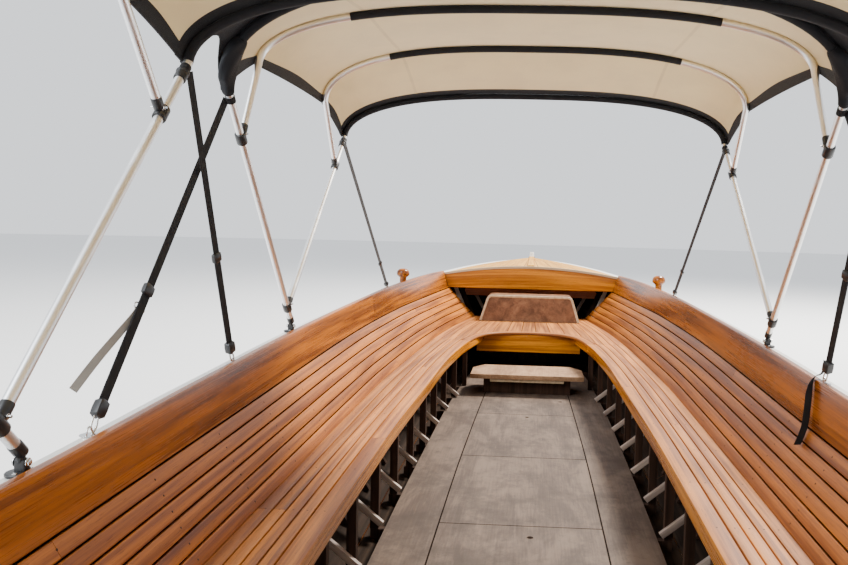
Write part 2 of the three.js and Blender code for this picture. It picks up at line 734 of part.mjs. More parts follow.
// A stringer outboard of the posts ties a side's frames together.
const STRINGER = 30;
const stringer = loft(
  innerStations(BENCH_AFT + 10, 2800).map((x) => {
    const y = line.junctionY(x) - 40;
    const [low, high] = [RISER_HIGH - 38, RISER_HIGH - 2];
    return [[x, y, low], [x, y + STRINGER, low], [x, y + STRINGER, high], [x, y, high]];
  }),
);
addPair("frames", joined(stringer, ...benchRibs.map(frame)), FINISH.frame);

// Floor: a centre run of panels with seams and finger holes, and a strip along each side.
const FLOOR_AFT = -5240;
const FLOOR_FORE = 2300;
const PANEL = 990;
const SEAM_AT = -370;
const SEAM_DEEP = 5;
const SEAM_HALF = 3;
const seams = Array.from({ length: 8 }, (_, i) => SEAM_AT + PANEL * (i - 5)).filter(
  (x) => x > FLOOR_AFT + 20 && x < FLOOR_FORE - 20,
);
const awayFromSeams = (x) => seams.every((s) => Math.abs(s - x) > SEAM_HALF + 1);
// columns: x, how far the centre panels' top drops there
const floorRings = [
  ...innerStations(FLOOR_AFT, FLOOR_FORE).filter(awayFromSeams).map((x) => [x, 0]),
  ...seams.flatMap((x) => [[x - SEAM_HALF, 0], [x, SEAM_DEEP], [x + SEAM_HALF, 0]]),
].sort((a, b) => a[0] - b[0]);
const floor = loft(
  floorRings.map(([x, drop]) => {
    const [seam, edge] = [line.floorSeamY(x), line.floorEdgeY(x)];
    const top = [
      [edge, 0], [seam + 2, 0], [seam, SEAM_DEEP], [seam - 2, drop],
      [2 - seam, drop], [-seam, SEAM_DEEP], [-2 - seam, 0], [-edge, 0],
    ];
    const low = FLOOR_TOP - FLOOR_THICK;
    return [[x, -edge, low], [x, edge, low], ...top.map(([y, down]) => [x, y, FLOOR_TOP - down])];
  }),
);
// columns: x, y of each finger hole
const FINGER_HOLES = [[-1480, -40], [550, -10], [1050, -240], [-3000, 60]];
const fingerHole = ([x, y]) => bar("z", [x, y, 0], FLOOR_TOP - 30, FLOOR_TOP + 10, 13, 13, 12);
add("floor", cut(floor, ...FINGER_HOLES.map(fingerHole)), FINISH.plywood);

// A raised cross step on the floor, its far corners cut, on a batten.
const STEP_TOP = 70;
const STEP_THICK = 32;
const stepBoard = slab(
  [[1210, -415], [1210, 415], [1500, 415], [1640, 335], [1640, -335], [1500, -415]],
  STEP_TOP - STEP_THICK,
  STEP_TOP,
);
const stepLegs = [1250, 1560].map((x) =>
  box([x, -320, FLOOR_TOP + CLEAR], [x + 24, 320, STEP_TOP - STEP_THICK + 1]),
);
add("step_board", joined(stepBoard, ...stepLegs), FINISH.plywood);

// The box step on the bow bench, narrower at the top and with a leaning front.
const BOW_BOX = { from: 2860, to: 3200, half: 465, topHalf: 395, top: 513, lean: 30 };
const bowBoxEnd = (x, lean) => [
  [x, -BOW_BOX.half, BENCH_TOP + CLEAR],
  [x, BOW_BOX.half, BENCH_TOP + CLEAR],
  [x + lean, BOW_BOX.topHalf, BOW_BOX.top],
  [x + lean, -BOW_BOX.topHalf, BOW_BOX.top],
];
add(
  "bow_box",
  loft([bowBoxEnd(BOW_BOX.from, BOW_BOX.lean), bowBoxEnd(BOW_BOX.to, 0)]),
  FINISH.plywood,
);

// Foredeck: cambered, from its beam to the stem.
const CAMBER_STEPS = [-1, -0.75, -0.5, -0.25, 0, 0.25, 0.5, 0.75, 1];
function deckZ(x, share, centreZ = DECK_CENTRE_Z) {
  const edge = line.gunwaleZ(x) - RAIL_DROP - 2;
  return lerp(centreZ, edge, share ** 2);
}
function deckRing(x, centreZ = DECK_CENTRE_Z) {
  const y = line.gunwaleY(x) + COAMING_THICK - CLEAR;
  const top = CAMBER_STEPS.map((s) => [x, s * y, deckZ(x, Math.abs(s), centreZ)]);
  return [...top, ...top.toReversed().map(([a, b, z]) => [a, b, z - DECK_THICK])];
}
add(
  "foredeck",
  loft(STATIONS.filter((x) => x >= DECK_AFT_EDGE).map((x) => deckRing(x))),
  FINISH.deck,
);

// The beam under the foredeck's aft edge.
const BEAM_LOW = 550;
const BEAM_THICK = 40;
function beam(x, low, thick, centreZ = DECK_CENTRE_Z) {
  const reach = line.gunwaleY(x + thick) + COAMING_THICK - 4;
  const levels = [low, lerp(low, line.gunwaleZ(x) - 60, 0.5)];
  const edge = (z) => Math.min(reach, innerY(Math.min(x + thick, DECK_AFT_EDGE), z) - thick * 0.3 - 4);
  const top = CAMBER_STEPS.map((s) => {
    const z = Math.min(deckZ(x, Math.abs(s), centreZ), deckZ(x + thick, Math.abs(s), centreZ));
    return [s * reach, z - DECK_THICK - CLEAR];
  });
  const ends = levels.map((z) => [edge(z), z]);
  return board(
    [...ends.toReversed().map(toPort), ...ends, ...top.reverse()],
    x,
    x + thick,
  );
}
add("deck_beam", beam(DECK_AFT_EDGE + 3, BEAM_LOW, BEAM_THICK), FINISH.varnish);

// A ring frame in the forepeak: two side ribs, a floor piece and a beam, along a leaning station.
const RING_CENTRE_Z = 320;
const RING_GAP = 1.2; // from the planking
function ringFrame(x, deep, thick) {
  // A point moved towards the ring's centre.
  const shrink = ([px, y, z], by) => {
    const kept = 1 - by / Math.hypot(y, z - RING_CENTRE_Z);
    return [px, y * kept, lerp(RING_CENTRE_Z, z, kept)];
  };
  const rings = [x - thick / 2, x + thick / 2].map((at) => {
    const [i, t] = stretch(at);
    const mix = (rows) =>
      rows[i].inner.map((p, k) => p.clone().lerp(rows[i + 1].inner[k], t).toArray()).slice(1, -1);
    const sidePts = mix(sideRings);
    const edgeZ = line.gunwaleZ(at) - RAIL_DROP - 2 - DECK_THICK - 14;
    const top = [0.8, 0.4, 0, -0.4, -0.8].map((s) => [
      at, s * sidePts.at(-1)[1], lerp(DECK_CENTRE_Z - DECK_THICK - 6, edgeZ, s ** 2),
    ]);
    const round = [
      ...mix(bottomRings).map((p) => shrink(p, RING_GAP)),
      ...sidePts.map((p) => shrink(p, RING_GAP)),
      ...top,
      ...sidePts.toReversed().map(([px, y, z]) => shrink([px, -y, z], RING_GAP)),
    ];
    return { round, inner: round.map((p) => shrink(p, deep)) };
  });
  const solid = (key, grow = 0) =>
    loft([
      rings[0][key].map(([px, y, z]) => [px - grow, y, z]),
      rings[1][key].map(([px, y, z]) => [px + grow, y, z]),
    ]);
  return cut(solid("round"), solid("inner", 40));
}
add("forepeak_frame", ringFrame(3850, 46, 36), FINISH.frame);

// Afterdeck and the bulkhead that closes the locker under it.
const AFTERDECK_FORE = -5300;
const AFTERDECK_CENTRE = 712;
add(
  "afterdeck",
  loft(innerStations(TRANSOM_X + CLEAR, AFTERDECK_FORE).map((x) => deckRing(x, AFTERDECK_CENTRE))),
  FINISH.deck,
);
const BULKHEAD_THICK = 22;
const bulkheadX = AFTERDECK_FORE;
const bulkheadLevels = [-60, 60, 200, 350, 500, 600];
const bulkheadSide = bulkheadLevels.map((z) => [
  Math.min(innerY(bulkheadX, z), innerY(bulkheadX + BULKHEAD_THICK, z)) - 5, z,
]);
const bulkheadTop = CAMBER_STEPS.map((s) => [
  s * (line.gunwaleY(bulkheadX) + 8),
  Math.min(
    deckZ(bulkheadX, Math.abs(s), AFTERDECK_CENTRE),
    deckZ(bulkheadX + BULKHEAD_THICK, Math.abs(s), AFTERDECK_CENTRE),
  ) - DECK_THICK - 1,
]);
add(
  "aft_bulkhead",
  board(
    [
      ...bulkheadSide.toReversed().map(toPort),
      ...bulkheadSide,
      ...bulkheadTop.reverse(),
    ],
    bulkheadX,
    bulkheadX + BULKHEAD_THICK,
  ),
  FINISH.varnish,
);

// The helm thwart, a plank across with a board under its front edge.
const THWART = { from: -5130, to: -4860, top: 300, thick: 28 };
const thwartY = Math.min(
  innerY(THWART.from, THWART.top - THWART.thick),
  innerY(THWART.to, THWART.top - THWART.thick),
) - 1.5;
add(
  "helm_thwart",
  joined(
    box([THWART.from, -thwartY, THWART.top - THWART.thick], [THWART.to, thwartY, THWART.top]),
    box([THWART.to - 50, -430, FLOOR_TOP + CLEAR], [THWART.to - 26, 430, THWART.top - 5]),
  ),
  FINISH.varnish,
);

// Bollards, on the rail near the bow.
const BOLLARD_X = 1750;
const bollardY = line.gunwaleY(BOLLARD_X) + 54;
const bollardZ = line.gunwaleZ(BOLLARD_X) - RAIL_DROP + CLEAR;
const bollardProfile = [[0, 0], [26, 0], [24, 40], [30, 62], [44, 78], [44, 92], [30, 106], [0, 110]];
const bollard = new THREE.LatheGeometry(bollardProfile.map(([r, z]) => new THREE.Vector2(r, z)), 12);
bollard.rotateX(Math.PI / 2);
bollard.translate(BOLLARD_X, bollardY, bollardZ);
addPair("bollard", bollard, FINISH.varnish);

// Cloth tops. On each side bow a stands on a deck hinge, d is jawed onto it just above, and the
// secondary bows b and c are jawed onto a and d near their tops.
// columns: name, bow that carries it, share of that bow's leg, corner x, corner z, crown x, crown z
const TOPS = {
  fore: {
    hinge: -1170,
    bows: [
      ["a", null, 0, -2050, 1535, -2170, 1850],
      ["b", "a", 0.84, -1775, 1672, -1700, 1890],
      ["c", "d", 0.8, -885, 1680, -950, 1920],
      ["d", "a", 0.085, -500, 1570, -420, 1800],
    ],
  },
  aft: {
    hinge: -3063,
    bows: [
      ["a", null, 0, -3930, 1525, -4050, 1840],
      ["b", "a", 0.84, -3655, 1662, -3580, 1880],
      ["c", "d", 0.8, -2715, 1660, -2790, 1905],
      ["d", "a", 0.085, -2340, 1560, -2262, 1792],
    ],
  },
};
const TOP_HALF = 950; // half-breadth over the bows' corners
const ARCH_ACROSS = 2 / 2.8; // exponents of the arch
const ARCH_UP = 2 / 2.2;
const EAR_HEIGHT = 44;
const hingeY = (x) => line.gunwaleY(x) + 52;
const hingeZ = (x) => line.gunwaleZ(x) - RAIL_DROP;

// A point of a bow's arch: share runs from -1 at starboard to 1 at port, out is square to the tube.
function archPoint([, , , cornerX, cornerZ, crownX, crownZ], share, out = 0) {
  const angle = (share * Math.PI) / 2;
  const across = Math.sign(angle) * Math.abs(Math.sin(angle)) ** ARCH_ACROSS;
  const rise = Math.abs(share) === 1 ? 0 : Math.cos(angle) ** ARCH_UP;
  return [
    lerp(cornerX, crownX, rise),
    (TOP_HALF + out) * across,
    lerp(cornerZ, crownZ + out, rise),
  ];
}
const ARCH_STEPS = [
  -1, -0.9, -0.8, -0.68, -0.55, -0.4, -0.2, 0, 0.2, 0.4, 0.55, 0.68, 0.8, 0.9, 1,
];

// The foot of a bow's port leg, and a point at a share of the way from it to the corner.
function legFoot(top, [, on, share, cornerX, cornerZ]) {
  if (on === null) {
    return new THREE.Vector3(top.hinge, hingeY(top.hinge), hingeZ(top.hinge) + EAR_HEIGHT);
  }
  const carrier = top.bows.find((row) => row[0] === on);
  const seat = legPoint(top, carrier, share);
  const toCorner = new THREE.Vector3(cornerX, TOP_HALF, cornerZ).sub(seat).normalize();
  const along = legPoint(top, carrier, 1).sub(seat).normalize();
  // the tube's square end just clears the round of the one that carries it
  const cosine = Math.abs(along.dot(toCorner));
  const reach = (TUBE_R + CLEAR + TUBE_R * cosine) / Math.sqrt(1 - cosine ** 2);
  return seat.addScaledVector(toCorner, reach);
}
function legPoint(top, row, share) {
  return legFoot(top, row).lerp(new THREE.Vector3(row[3], TOP_HALF, row[4]), share);
}

// Deck hinges: a plate on the rail with an ear that the leg stands in.
function deckHinge(x, sign) {
  const [y, z] = [sign * hingeY(x), hingeZ(x)];
  return [
    box([x - 34, y - 17, z + 3 * CLEAR], [x + 34, y + 17, z + 8]),
    box([x - 12, y - 10, z + 5], [x + 12, y + 10, z + EAR_HEIGHT + 6]),
  ];
}
for (const [place, top] of Object.entries(TOPS))
  for (const row of top.bows) {
    const foot = legFoot(top, row);
    const path = [
      [foot.x, -foot.y, foot.z], ...ARCH_STEPS.map((s) => archPoint(row, s)), foot.toArray(),
    ];
    const tube = sweep(path, circle(TUBE_R), new THREE.Vector3(1, 0, 0));
    const hinges = [-1, 1].flatMap((sign) => deckHinge(top.hinge, sign));
    const bow = row[1] === null ? joined(tube, ...hinges) : tube;
    add(`${place}_bow_${row[0]}`, bow, FINISH.tube);
  }

// Canopies: a sheet over the four bows, from corner to corner.
const CLOTH_OFF = TUBE_R + 3.1;
const CLOTH_THICK = 5;
function sheetBetween(rows, steps, off, thick) {
  const grid = (out) =>
    rows.slice(0, -1).flatMap((row, i) =>
      Array.from({ length: steps + (i === rows.length - 2 ? 1 : 0) }, (_, k) => {
        const t = k / steps;
        const mixed = row.map((value, c) => (c < 3 ? value : lerp(value, rows[i + 1][c], t)));
        return ARCH_STEPS.map((s) => archPoint(mixed, s, out));
      }),
    );
  const [low, high] = [grid(off), grid(off + thick)];
  return loft(low.map((ring, i) => [...ring, ...high[i].toReversed()]));
}
for (const [place, top] of Object.entries(TOPS)) {
  add(`${place}_canopy`, sheetBetween(top.bows, 2, CLOTH_OFF, CLOTH_THICK), FINISH.cloth);
}
add(
  "canopy_connector",
  sheetBetween(
    [TOPS.aft.bows[3], TOPS.fore.bows[0]], 4, CLOTH_OFF + CLOTH_THICK + CLEAR + 0.5, 4,
  ),
  FINISH.webbing,
);

// Stays of flat webbing, from a bow's corner down to an eye on the rail.
// columns: name, top x, top z, rail x, shift in y so that crossing stays pass each other
const STAYS = [
  ["stay_aft_a", -3930, 1512, -4640, 0],
  ["stay_aft_d", -2340, 1546, -1900, -12],
  ["stay_fore_a", -2050, 1522, -2780, 14],
  ["stay_fore_d", -500, 1556, 1150, 0],
];
const STAY_WIDTH = 25;
for (const [name, topX, topZ, railX, shift] of STAYS) {
  const lean = Math.abs(topX - railX) / Math.hypot(topX - railX, topZ - hingeZ(railX));
  const lift = (STAY_WIDTH / 2) * lean + CLEAR; // its square end just clears the rail
  const seat = Math.max(...[-14, 14].map((dx) => hingeZ(railX + dx)));
  const foot = [railX, hingeY(railX) + shift, seat + lift];
  const head = [topX, TOP_HALF + shift, topZ - 16];
  const strap = sweep([foot, head], rectangle(STAY_WIDTH, 4), new THREE.Vector3(0, 1, 0));
  addPair(name, strap, FINISH.webbing);
}

// Motor: a pillar on the afterdeck, a yoke that swivels on it, and a cradle that tilts in the yoke.
const MOTOR_X = -5800;
const TILT_Z = 980;
const REST_TILT = 12; // degrees that the tail hangs down as the boat is parked
const PILLAR_TOP = 820;
const CRANK_Z = 145; // the shaft's height above the tilt axis
const TUBE_HALF = 24; // radius of the long shaft's tube
const TAIL_END = -3560; // end of the shaft tube, from the tilt axis
add(
  "motor_pillar",
  joined(
    box([MOTOR_X - 140, -140, AFTERDECK_CENTRE + CLEAR], [MOTOR_X + 140, 140, AFTERDECK_CENTRE + 12]),
    bar("z", [MOTOR_X, 0, 0], AFTERDECK_CENTRE + 6, PILLAR_TOP, 62, 46, 20),
  ),
  FINISH.steel,
);
const CHEEK_IN = 122;
const CHEEK_THICK = 14;
const PIN_R = 15;
const yokeBar = box([-45, -CHEEK_IN - CHEEK_THICK, -138], [45, CHEEK_IN + CHEEK_THICK, -118]);
const cheekOutline = [[-45, -138], [45, -138], [30, 26], [0, 36], [-30, 26]];
const yoke = cut(
  joined(
    bar("z", [0, 0, 0], PILLAR_TOP + CLEAR - TILT_Z, -120, 52, 52, 20),
    yokeBar,
    cheek(cheekOutline, CHEEK_IN, CHEEK_IN + CHEEK_THICK),
    cheek(cheekOutline, -CHEEK_IN - CHEEK_THICK, -CHEEK_IN),
  ),
  bar("y", [0, 0, 0], -160, 160, PIN_R + 0.6, PIN_R + 0.6, 20),
);
yoke.translate(MOTOR_X, 0, TILT_Z);
add("motor_yoke", yoke, FINISH.steel);

const tilting = new THREE.Group();
tilting.position.set(MOTOR_X, 0, TILT_Z);
tilting.rotation.y = THREE.MathUtils.degToRad(-REST_TILT);
boat.add(tilting);

// The engine sits ahead of the tilt axis, to balance most of the tail's weight.
const AHEAD = 200;
const engineBed = new THREE.Group();
engineBed.position.x = AHEAD;
tilting.add(engineBed);

const RAIL_TOP = 30;
const RAIL_LOW = -10;
const CRADLE = { from: AHEAD - 450, to: AHEAD + 450, inner: 52, outer: 82 };
const cradleRail = box(
  [CRADLE.from, CRADLE.inner, RAIL_LOW],
  [CRADLE.to, CRADLE.outer, RAIL_TOP],
);
const acrossCradle = (x) =>
  box([x - 10, -CRADLE.outer, RAIL_LOW], [x + 10, CRADLE.outer, RAIL_TOP - 8]);
const tailPlate = cut(
  box([CRADLE.from - 12, -CRADLE.outer, RAIL_LOW], [CRADLE.from + 6, CRADLE.outer, CRANK_Z + 60]),
  bar(
    "x", [0, 0, CRANK_Z], CRADLE.from - 30, CRADLE.from + 20,
    TUBE_HALF + 2 * CLEAR, TUBE_HALF + 2 * CLEAR, 16,
  ),
);
const trunnion = joined(
  bar("y", [0, 0, 0], 60, CHEEK_IN + CHEEK_THICK + 6, PIN_R, PIN_R, 20),
  bar("y", [0, 0, 0], 78, CHEEK_IN - 6, 24, 24, 20),
);
add(
  "motor_cradle",
  joined(
    cradleRail,
    mirrored(cradleRail),
    ...[-390, 310, 440].map((x) => acrossCradle(x + AHEAD)),
    trunnion,
    mirrored(trunnion),
    tailPlate,
  ),
  FINISH.rust,
  tilting,
);

// The open engine: block, sump, head, cover, bell housing, pulleys, belt, a generator and the
// drum of its air cleaner.
const rounded = (w, h, r) => {
  const [x, y] = [w / 2, h / 2];
  return [
    [-x + r, -y], [x - r, -y], [x, -y + r], [x, y - r], [x - r, y], [-x + r, y], [-x, y - r],
    [-x, -y + r],
  ];
};
const lengthwise = (outline, from, to, z) =>
  board(outline.map(([y, h]) => [y, h + z]), from, to);
const BLOCK = { from: -200, to: 200, wide: 210, high: 224 };
const BLOCK_LOW = RAIL_TOP + CLEAR;
const BLOCK_TOP = BLOCK_LOW + BLOCK.high;
const HEAD_TOP = BLOCK_TOP + 52;
const COVER_TOP = HEAD_TOP + 52;
const FILTER_X = 20;
const FAN_Z = BLOCK_LOW + 240;
const CYLINDERS = [-144, -48, 48, 144];
const BELL_END = -330;
add(
  "engine",
  joined(
    lengthwise(rounded(BLOCK.wide, BLOCK.high, 18), BLOCK.from, BLOCK.to, BLOCK_LOW + BLOCK.high / 2),
    box([-175, -46, BLOCK_LOW - 50], [175, 46, BLOCK_LOW + 10]),
    box([-195, -88, BLOCK_TOP - 4], [195, 88, HEAD_TOP]),
    lengthwise(rounded(120, 60, 20), -180, 180, COVER_TOP - 30),
    bar("x", [0, 0, CRANK_Z], BELL_END, -195, 62, 104, 20),
    bar("x", [0, 0, CRANK_Z], 190, 246, 26, 26, 12),
    bar("x", [0, 0, CRANK_Z], 216, 240, 72, 72, 20),
    bar("x", [0, 0, FAN_Z], 190, 246, 20, 20, 12),
    bar("x", [0, 0, FAN_Z], 216, 240, 54, 54, 20),
    box([221, -56, CRANK_Z + 10], [235, 56, FAN_Z - 6]),
    bar("x", [0, -138, BLOCK_LOW + 182], 60, 190, 52, 52, 16),
    bar("x", [0, -138, BLOCK_LOW + 182], 180, 236, 30, 30, 12),
    ...CYLINDERS.map((x) => box([x - 9, -112, BLOCK_LOW + 26], [x + 9, 112, BLOCK_LOW + 196])),
    bar("z", [FILTER_X, 0, 0], COVER_TOP - 1, COVER_TOP + 32, 34, 34, 12),
    bar("z", [FILTER_X, 0, 0], COVER_TOP + 30, COVER_TOP + 86, 92, 92, 20),
    bar("z", [FILTER_X, 0, 0], COVER_TOP + 84, COVER_TOP + 98, 20, 20, 10),
  ),
  FINISH.engine,
  engineBed,
);

const PORT_Z = BLOCK_TOP + 24;
const PIPE_Y = 150;
add(
  "exhaust",
  joined(
    ...CYLINDERS.map((x) => bar("y", [x, 0, PORT_Z], 88 + CLEAR, PIPE_Y, 17, 17, 10)),
    bar("x", [0, PIPE_Y, PORT_Z], -170, 170, 24, 24, 12),
    sweep(
      [[-150, 0], [-190, 8], [-215, 43], [-222, 98], [-222, 330]].map(([x, up]) => [
        x, PIPE_Y, PORT_Z + up,
      ]),
      circle(22, 12),
      new THREE.Vector3(0, 1, 0),
    ),
  ),
  FINISH.rust,
  engineBed,
);

// Tiller: a tube from the cradle's front, rising to a grip.
const tillerFoot = CRADLE.to + CLEAR;
const TILLER = [[tillerFoot + 4, 8], [760, 20], [900, 44], [1130, 83]];
const [gripStart, gripEnd] = [[985, 58.4], [1122, 81.6]];
const inPlane = ([x, z]) => [x, 0, z];
add(
  "tiller",
  joined(
    sweep(TILLER.map(inPlane), circle(16, 10)),
    sweep([gripStart, gripEnd].map(inPlane), circle(21, 10)),
    box([tillerFoot, -40, RAIL_LOW + 2], [tillerFoot + 10, 40, RAIL_TOP - 4]),
  ),
  FINISH.steel,
  tilting,
);

// The long tail: a tube with a guard rod under the propeller.
const GUARD = [[-3180, -18], [-3300, -90], [-3420, -158], [-3540, -184], [-3680, -190]];
add(
  "shaft_tube",
  joined(
    bar("x", [0, 0, CRANK_Z], TAIL_END, AHEAD + BELL_END - CLEAR, TUBE_HALF, TUBE_HALF, 16),
    bar("x", [0, 0, CRANK_Z], TAIL_END, TAIL_END + 110, 38, 38, 16),
    bar("x", [0, 0, CRANK_Z], CRADLE.from - 26, CRADLE.from - 12 - CLEAR, 48, 48, 16),
    sweep(GUARD.map(([x, drop]) => [x, 0, CRANK_Z + drop]), rectangle(12, 26)),
    sweep(
      [[-3480, 0, CRANK_Z - 170], [-3480, 0, CRANK_Z - 26]],
      rectangle(12, 26),
      new THREE.Vector3(1, 0, 0),
    ),
  ),
  FINISH.steel,
  tilting,
);

// Propeller: two twisted blades on a hub.
const PROP_X = TAIL_END - 62;
const PROP_R = 150;
function blade(turn) {
  const rings = [18, 50, 90, 125, PROP_R].map((r) => {
    const pitch = Math.atan2(70, r);
    const half = r < 30 ? 22 : 44 * Math.sin(Math.PI * clamp(0.18 + (0.74 * r) / PROP_R, 0, 1)) + 6;
    const thick = lerp(5, 2, r / PROP_R);
    return [[-half, 0], [0, -thick], [half, 0], [0, thick]].map(([w, t]) => {
      const along = w * Math.sin(pitch) + t * Math.cos(pitch);
      const across = w * Math.cos(pitch) - t * Math.sin(pitch);
      return [along, across, r];
    });
  });
  return closedTube(rings).rotateX(turn);
}
const propeller = joined(
  bar("x", [0, 0, 0], -50, 52, 24, 28, 16),
  bar("x", [0, 0, 0], -66, -48, 8, 22, 16),
  bar("x", [0, 0, 0], 45, 61, 16, 16, 12),
  blade(0),
  blade(Math.PI),
);
propeller.translate(PROP_X, 0, CRANK_Z);
add("propeller", propeller, FINISH.brass, tilting);

export default boat;
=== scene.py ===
"""Looks of an open wooden longtail passenger boat: planking, seats, decks, cloth tops and motor.

Metres, +X the bow, +Y port, +Z up, the origin amidships at the waterline. Every surface is worked
out as whole arrays and ends up in its mesh, so each object sits at the origin.
"""

import bpy
import numpy as np
from bpy.props import FloatProperty, FloatVectorProperty, IntProperty, PointerProperty
from mathutils import Matrix, Vector


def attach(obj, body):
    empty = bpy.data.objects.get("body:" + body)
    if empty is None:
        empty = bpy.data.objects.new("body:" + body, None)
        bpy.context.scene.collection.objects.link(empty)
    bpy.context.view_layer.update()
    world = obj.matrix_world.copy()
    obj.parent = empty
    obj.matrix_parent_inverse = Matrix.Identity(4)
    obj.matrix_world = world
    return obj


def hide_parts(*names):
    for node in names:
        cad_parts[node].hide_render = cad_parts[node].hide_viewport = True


bl_info = {
    "name": "Longtail Boat",
    "version": (1, 0, 0),
    "blender": (4, 5, 0),
    "location": "View3D > Sidebar > Longtail Boat",
    "description": "Dresses an open wooden passenger boat in planks, slats, cloth tops and fittings",
    "category": "Object",
}

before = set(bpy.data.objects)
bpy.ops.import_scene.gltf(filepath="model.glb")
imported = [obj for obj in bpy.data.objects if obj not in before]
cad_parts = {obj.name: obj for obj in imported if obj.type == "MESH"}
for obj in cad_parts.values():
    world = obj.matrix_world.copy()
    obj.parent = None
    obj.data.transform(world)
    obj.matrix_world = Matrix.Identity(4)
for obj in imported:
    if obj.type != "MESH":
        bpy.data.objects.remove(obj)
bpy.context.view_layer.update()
SIDES = (("port", 1.0), ("starboard", -1.0))
SIGNS = (1.0, -1.0)
TAU = 2 * np.pi

# Tables of the hull's curves, as rows of x and value
GUNWALE_Y = (
    (-6.1, 0.7), (-5.2, 0.79), (-4.2, 0.858), (-3.15, 0.905), (-2.25, 0.94), (-1.15, 0.96), (0, 0.968),
    (0.85, 0.97), (1.95, 0.95), (2.75, 0.905), (3.25, 0.85), (3.9, 0.755), (4.45, 0.65), (5.05, 0.49),
    (5.6, 0.285), (5.9, 0.12), (6.05, 0.005),
)
GUNWALE_Z = (
    (-6.1, 0.7), (-5.2, 0.665), (-4.2, 0.645), (-3.15, 0.64), (-2.25, 0.655), (-1.15, 0.68), (0, 0.696),
    (0.85, 0.705), (1.95, 0.706), (3.25, 0.707), (4.45, 0.728), (6.05, 0.77),
)
CHINE_Y = (
    (-6.0, 0.47), (-5.2, 0.54), (-4.2, 0.59), (-3.15, 0.615), (-2.0, 0.632), (0, 0.64), (1.0, 0.635),
    (1.95, 0.605), (2.75, 0.545), (3.25, 0.48), (3.8, 0.375), (4.35, 0.25), (4.85, 0.125), (5.25, 0.04),
)
CHINE_Z = (
    (-6.0, -0.085), (-5.2, -0.12), (-4.2, -0.138), (-3.15, -0.145), (0, -0.147), (1.95, -0.14),
    (2.75, -0.128), (3.25, -0.11), (3.8, -0.08), (4.35, -0.045), (4.85, 0.005), (5.25, 0.07),
)
KEEL_Z = (
    (-5.98, -0.15), (-5.2, -0.205), (-4.2, -0.24), (-3.15, -0.258), (0, -0.265), (1.95, -0.26),
    (3.25, -0.235), (4.2, -0.17), (4.8, -0.075), (5.15, 0.025),
)
BACKREST_TOP_Y = (
    (-5.26, 0.762), (-4.795, 0.798), (-3.15, 0.885), (-2.25, 0.905), (0.05, 0.95), (1.1, 0.93),
    (2.05, 0.872), (3.25, 0.795),
)
BACKREST_TOP_Z = (
    (-4.795, 0.5), (-3.15, 0.505), (-2.25, 0.515), (0.05, 0.54), (2.05, 0.547), (3.25, 0.547),
)
JUNCTION_Y = (
    (-4.795, 0.69), (-2.55, 0.77), (-0.25, 0.789), (0.05, 0.783), (1.1, 0.745), (2.15, 0.675), (3.25, 0.535),
)
BENCH_FRONT_Y = (
    (-4.795, 0.47), (-2.55, 0.543), (-1.35, 0.551), (-0.45, 0.538), (0.45, 0.522), (1.25, 0.475),
    (1.5, 0.446),
)
FLOOR_EDGE_Y = (
    (-5.25, 0.455), (-3.15, 0.52), (-1.0, 0.543), (0.5, 0.538), (1.25, 0.518), (1.95, 0.488), (2.3, 0.45),
)
FLOOR_SEAM_Y = ((-5.25, 0.29), (-3.15, 0.33), (-1.0, 0.334), (1.35, 0.303), (2.3, 0.27))
# the bow bench's front edge on one side, as rows of x and y
BOW_EDGE = (
    (2.075, 0.0), (2.066, 0.11), (2.042, 0.205), (1.995, 0.285), (1.915, 0.348), (1.8, 0.392),
    (1.65, 0.424), (1.5, 0.446),
)

# places along the boat: its ends, where the quarters lean in, where the sides' curve starts to
# flatten, where the rails narrow, and the head of the stem's post
AFT_END, FORE_END = -6.1, 6.05
QUARTER = -5.2
FULL_UNTIL = 2.5
BOW_START = 5.4
STEM_HEAD_X = 6.087
CHINE_ENDS, KEEL_ENDS = (-6.0, 5.25), (-5.991, 5.15)
# how far the planking and the rail reach out from the gunwale's line, and what they lose at the bow
PLANKING_OUT, RAIL_OUT, BOW_TAPER = 0.062, 0.08, 0.024
PLANKING = 0.02
FLOOR_TOP = -0.08
BENCH_AFT, BENCH_FORE, BENCH_TOP = -4.795, 1.5, 0.275
BENCH_THICK, FASCIA_THICK = 0.02, 0.018
# where a side bench's planks meet, as shares of its breadth, and how far the last one runs on
BENCH_SHARES, BENCH_REACH = np.array([0, 0.265, 0.449, 0.633, 0.816, 1.0]), 0.022
COAMING_AFT, COAMING_THICK = -5.26, 0.025
DECK_EDGE, DECK_CENTRE, DECK_THICK = 3.25, 0.771, 0.018
AFTERDECK_EDGE, AFTERDECK_CENTRE = -5.3, 0.712
RAIL_DROP, RAIL_HEIGHT = 0.02, 0.026
RIBS = -5.19 + 0.42 * np.arange(20)
TUBE_R = 0.0127
CLEAR = 0.0003
# edges past this angle, in degrees, are sharp
SHARP = 38


def curve(rows):
    """A smooth function through rows of (x, value).

    Cubic pieces meet at the rows, where the slope is the harmonic mean of the slopes on both
    sides, or nothing where those differ in sign, so that the curve never overshoots its rows.
    """
    xs, ys = np.array(rows, float).T
    slope = np.diff(ys) / np.diff(xs)
    before, after = slope[:-1], slope[1:]
    same = before * after > 0
    inner = np.where(same, 2 * before * after / np.where(same, before + after, 1), 0)
    tangent = np.concatenate([slope[:1], inner, slope[-1:]])

    def value(x):
        x = np.clip(x, xs[0], xs[-1])
        i = np.clip(np.searchsorted(xs, x, side="right") - 1, 0, len(xs) - 2)
        width = xs[i + 1] - xs[i]
        t = (x - xs[i]) / width
        hermite = (2 * t**3 - 3 * t**2 + 1, t**3 - 2 * t**2 + t, 3 * t**2 - 2 * t**3, t**3 - t**2)
        ends = (ys[i], tangent[i] * width, ys[i + 1], tangent[i + 1] * width)
        return sum(share * end for share, end in zip(hermite, ends))

    return value


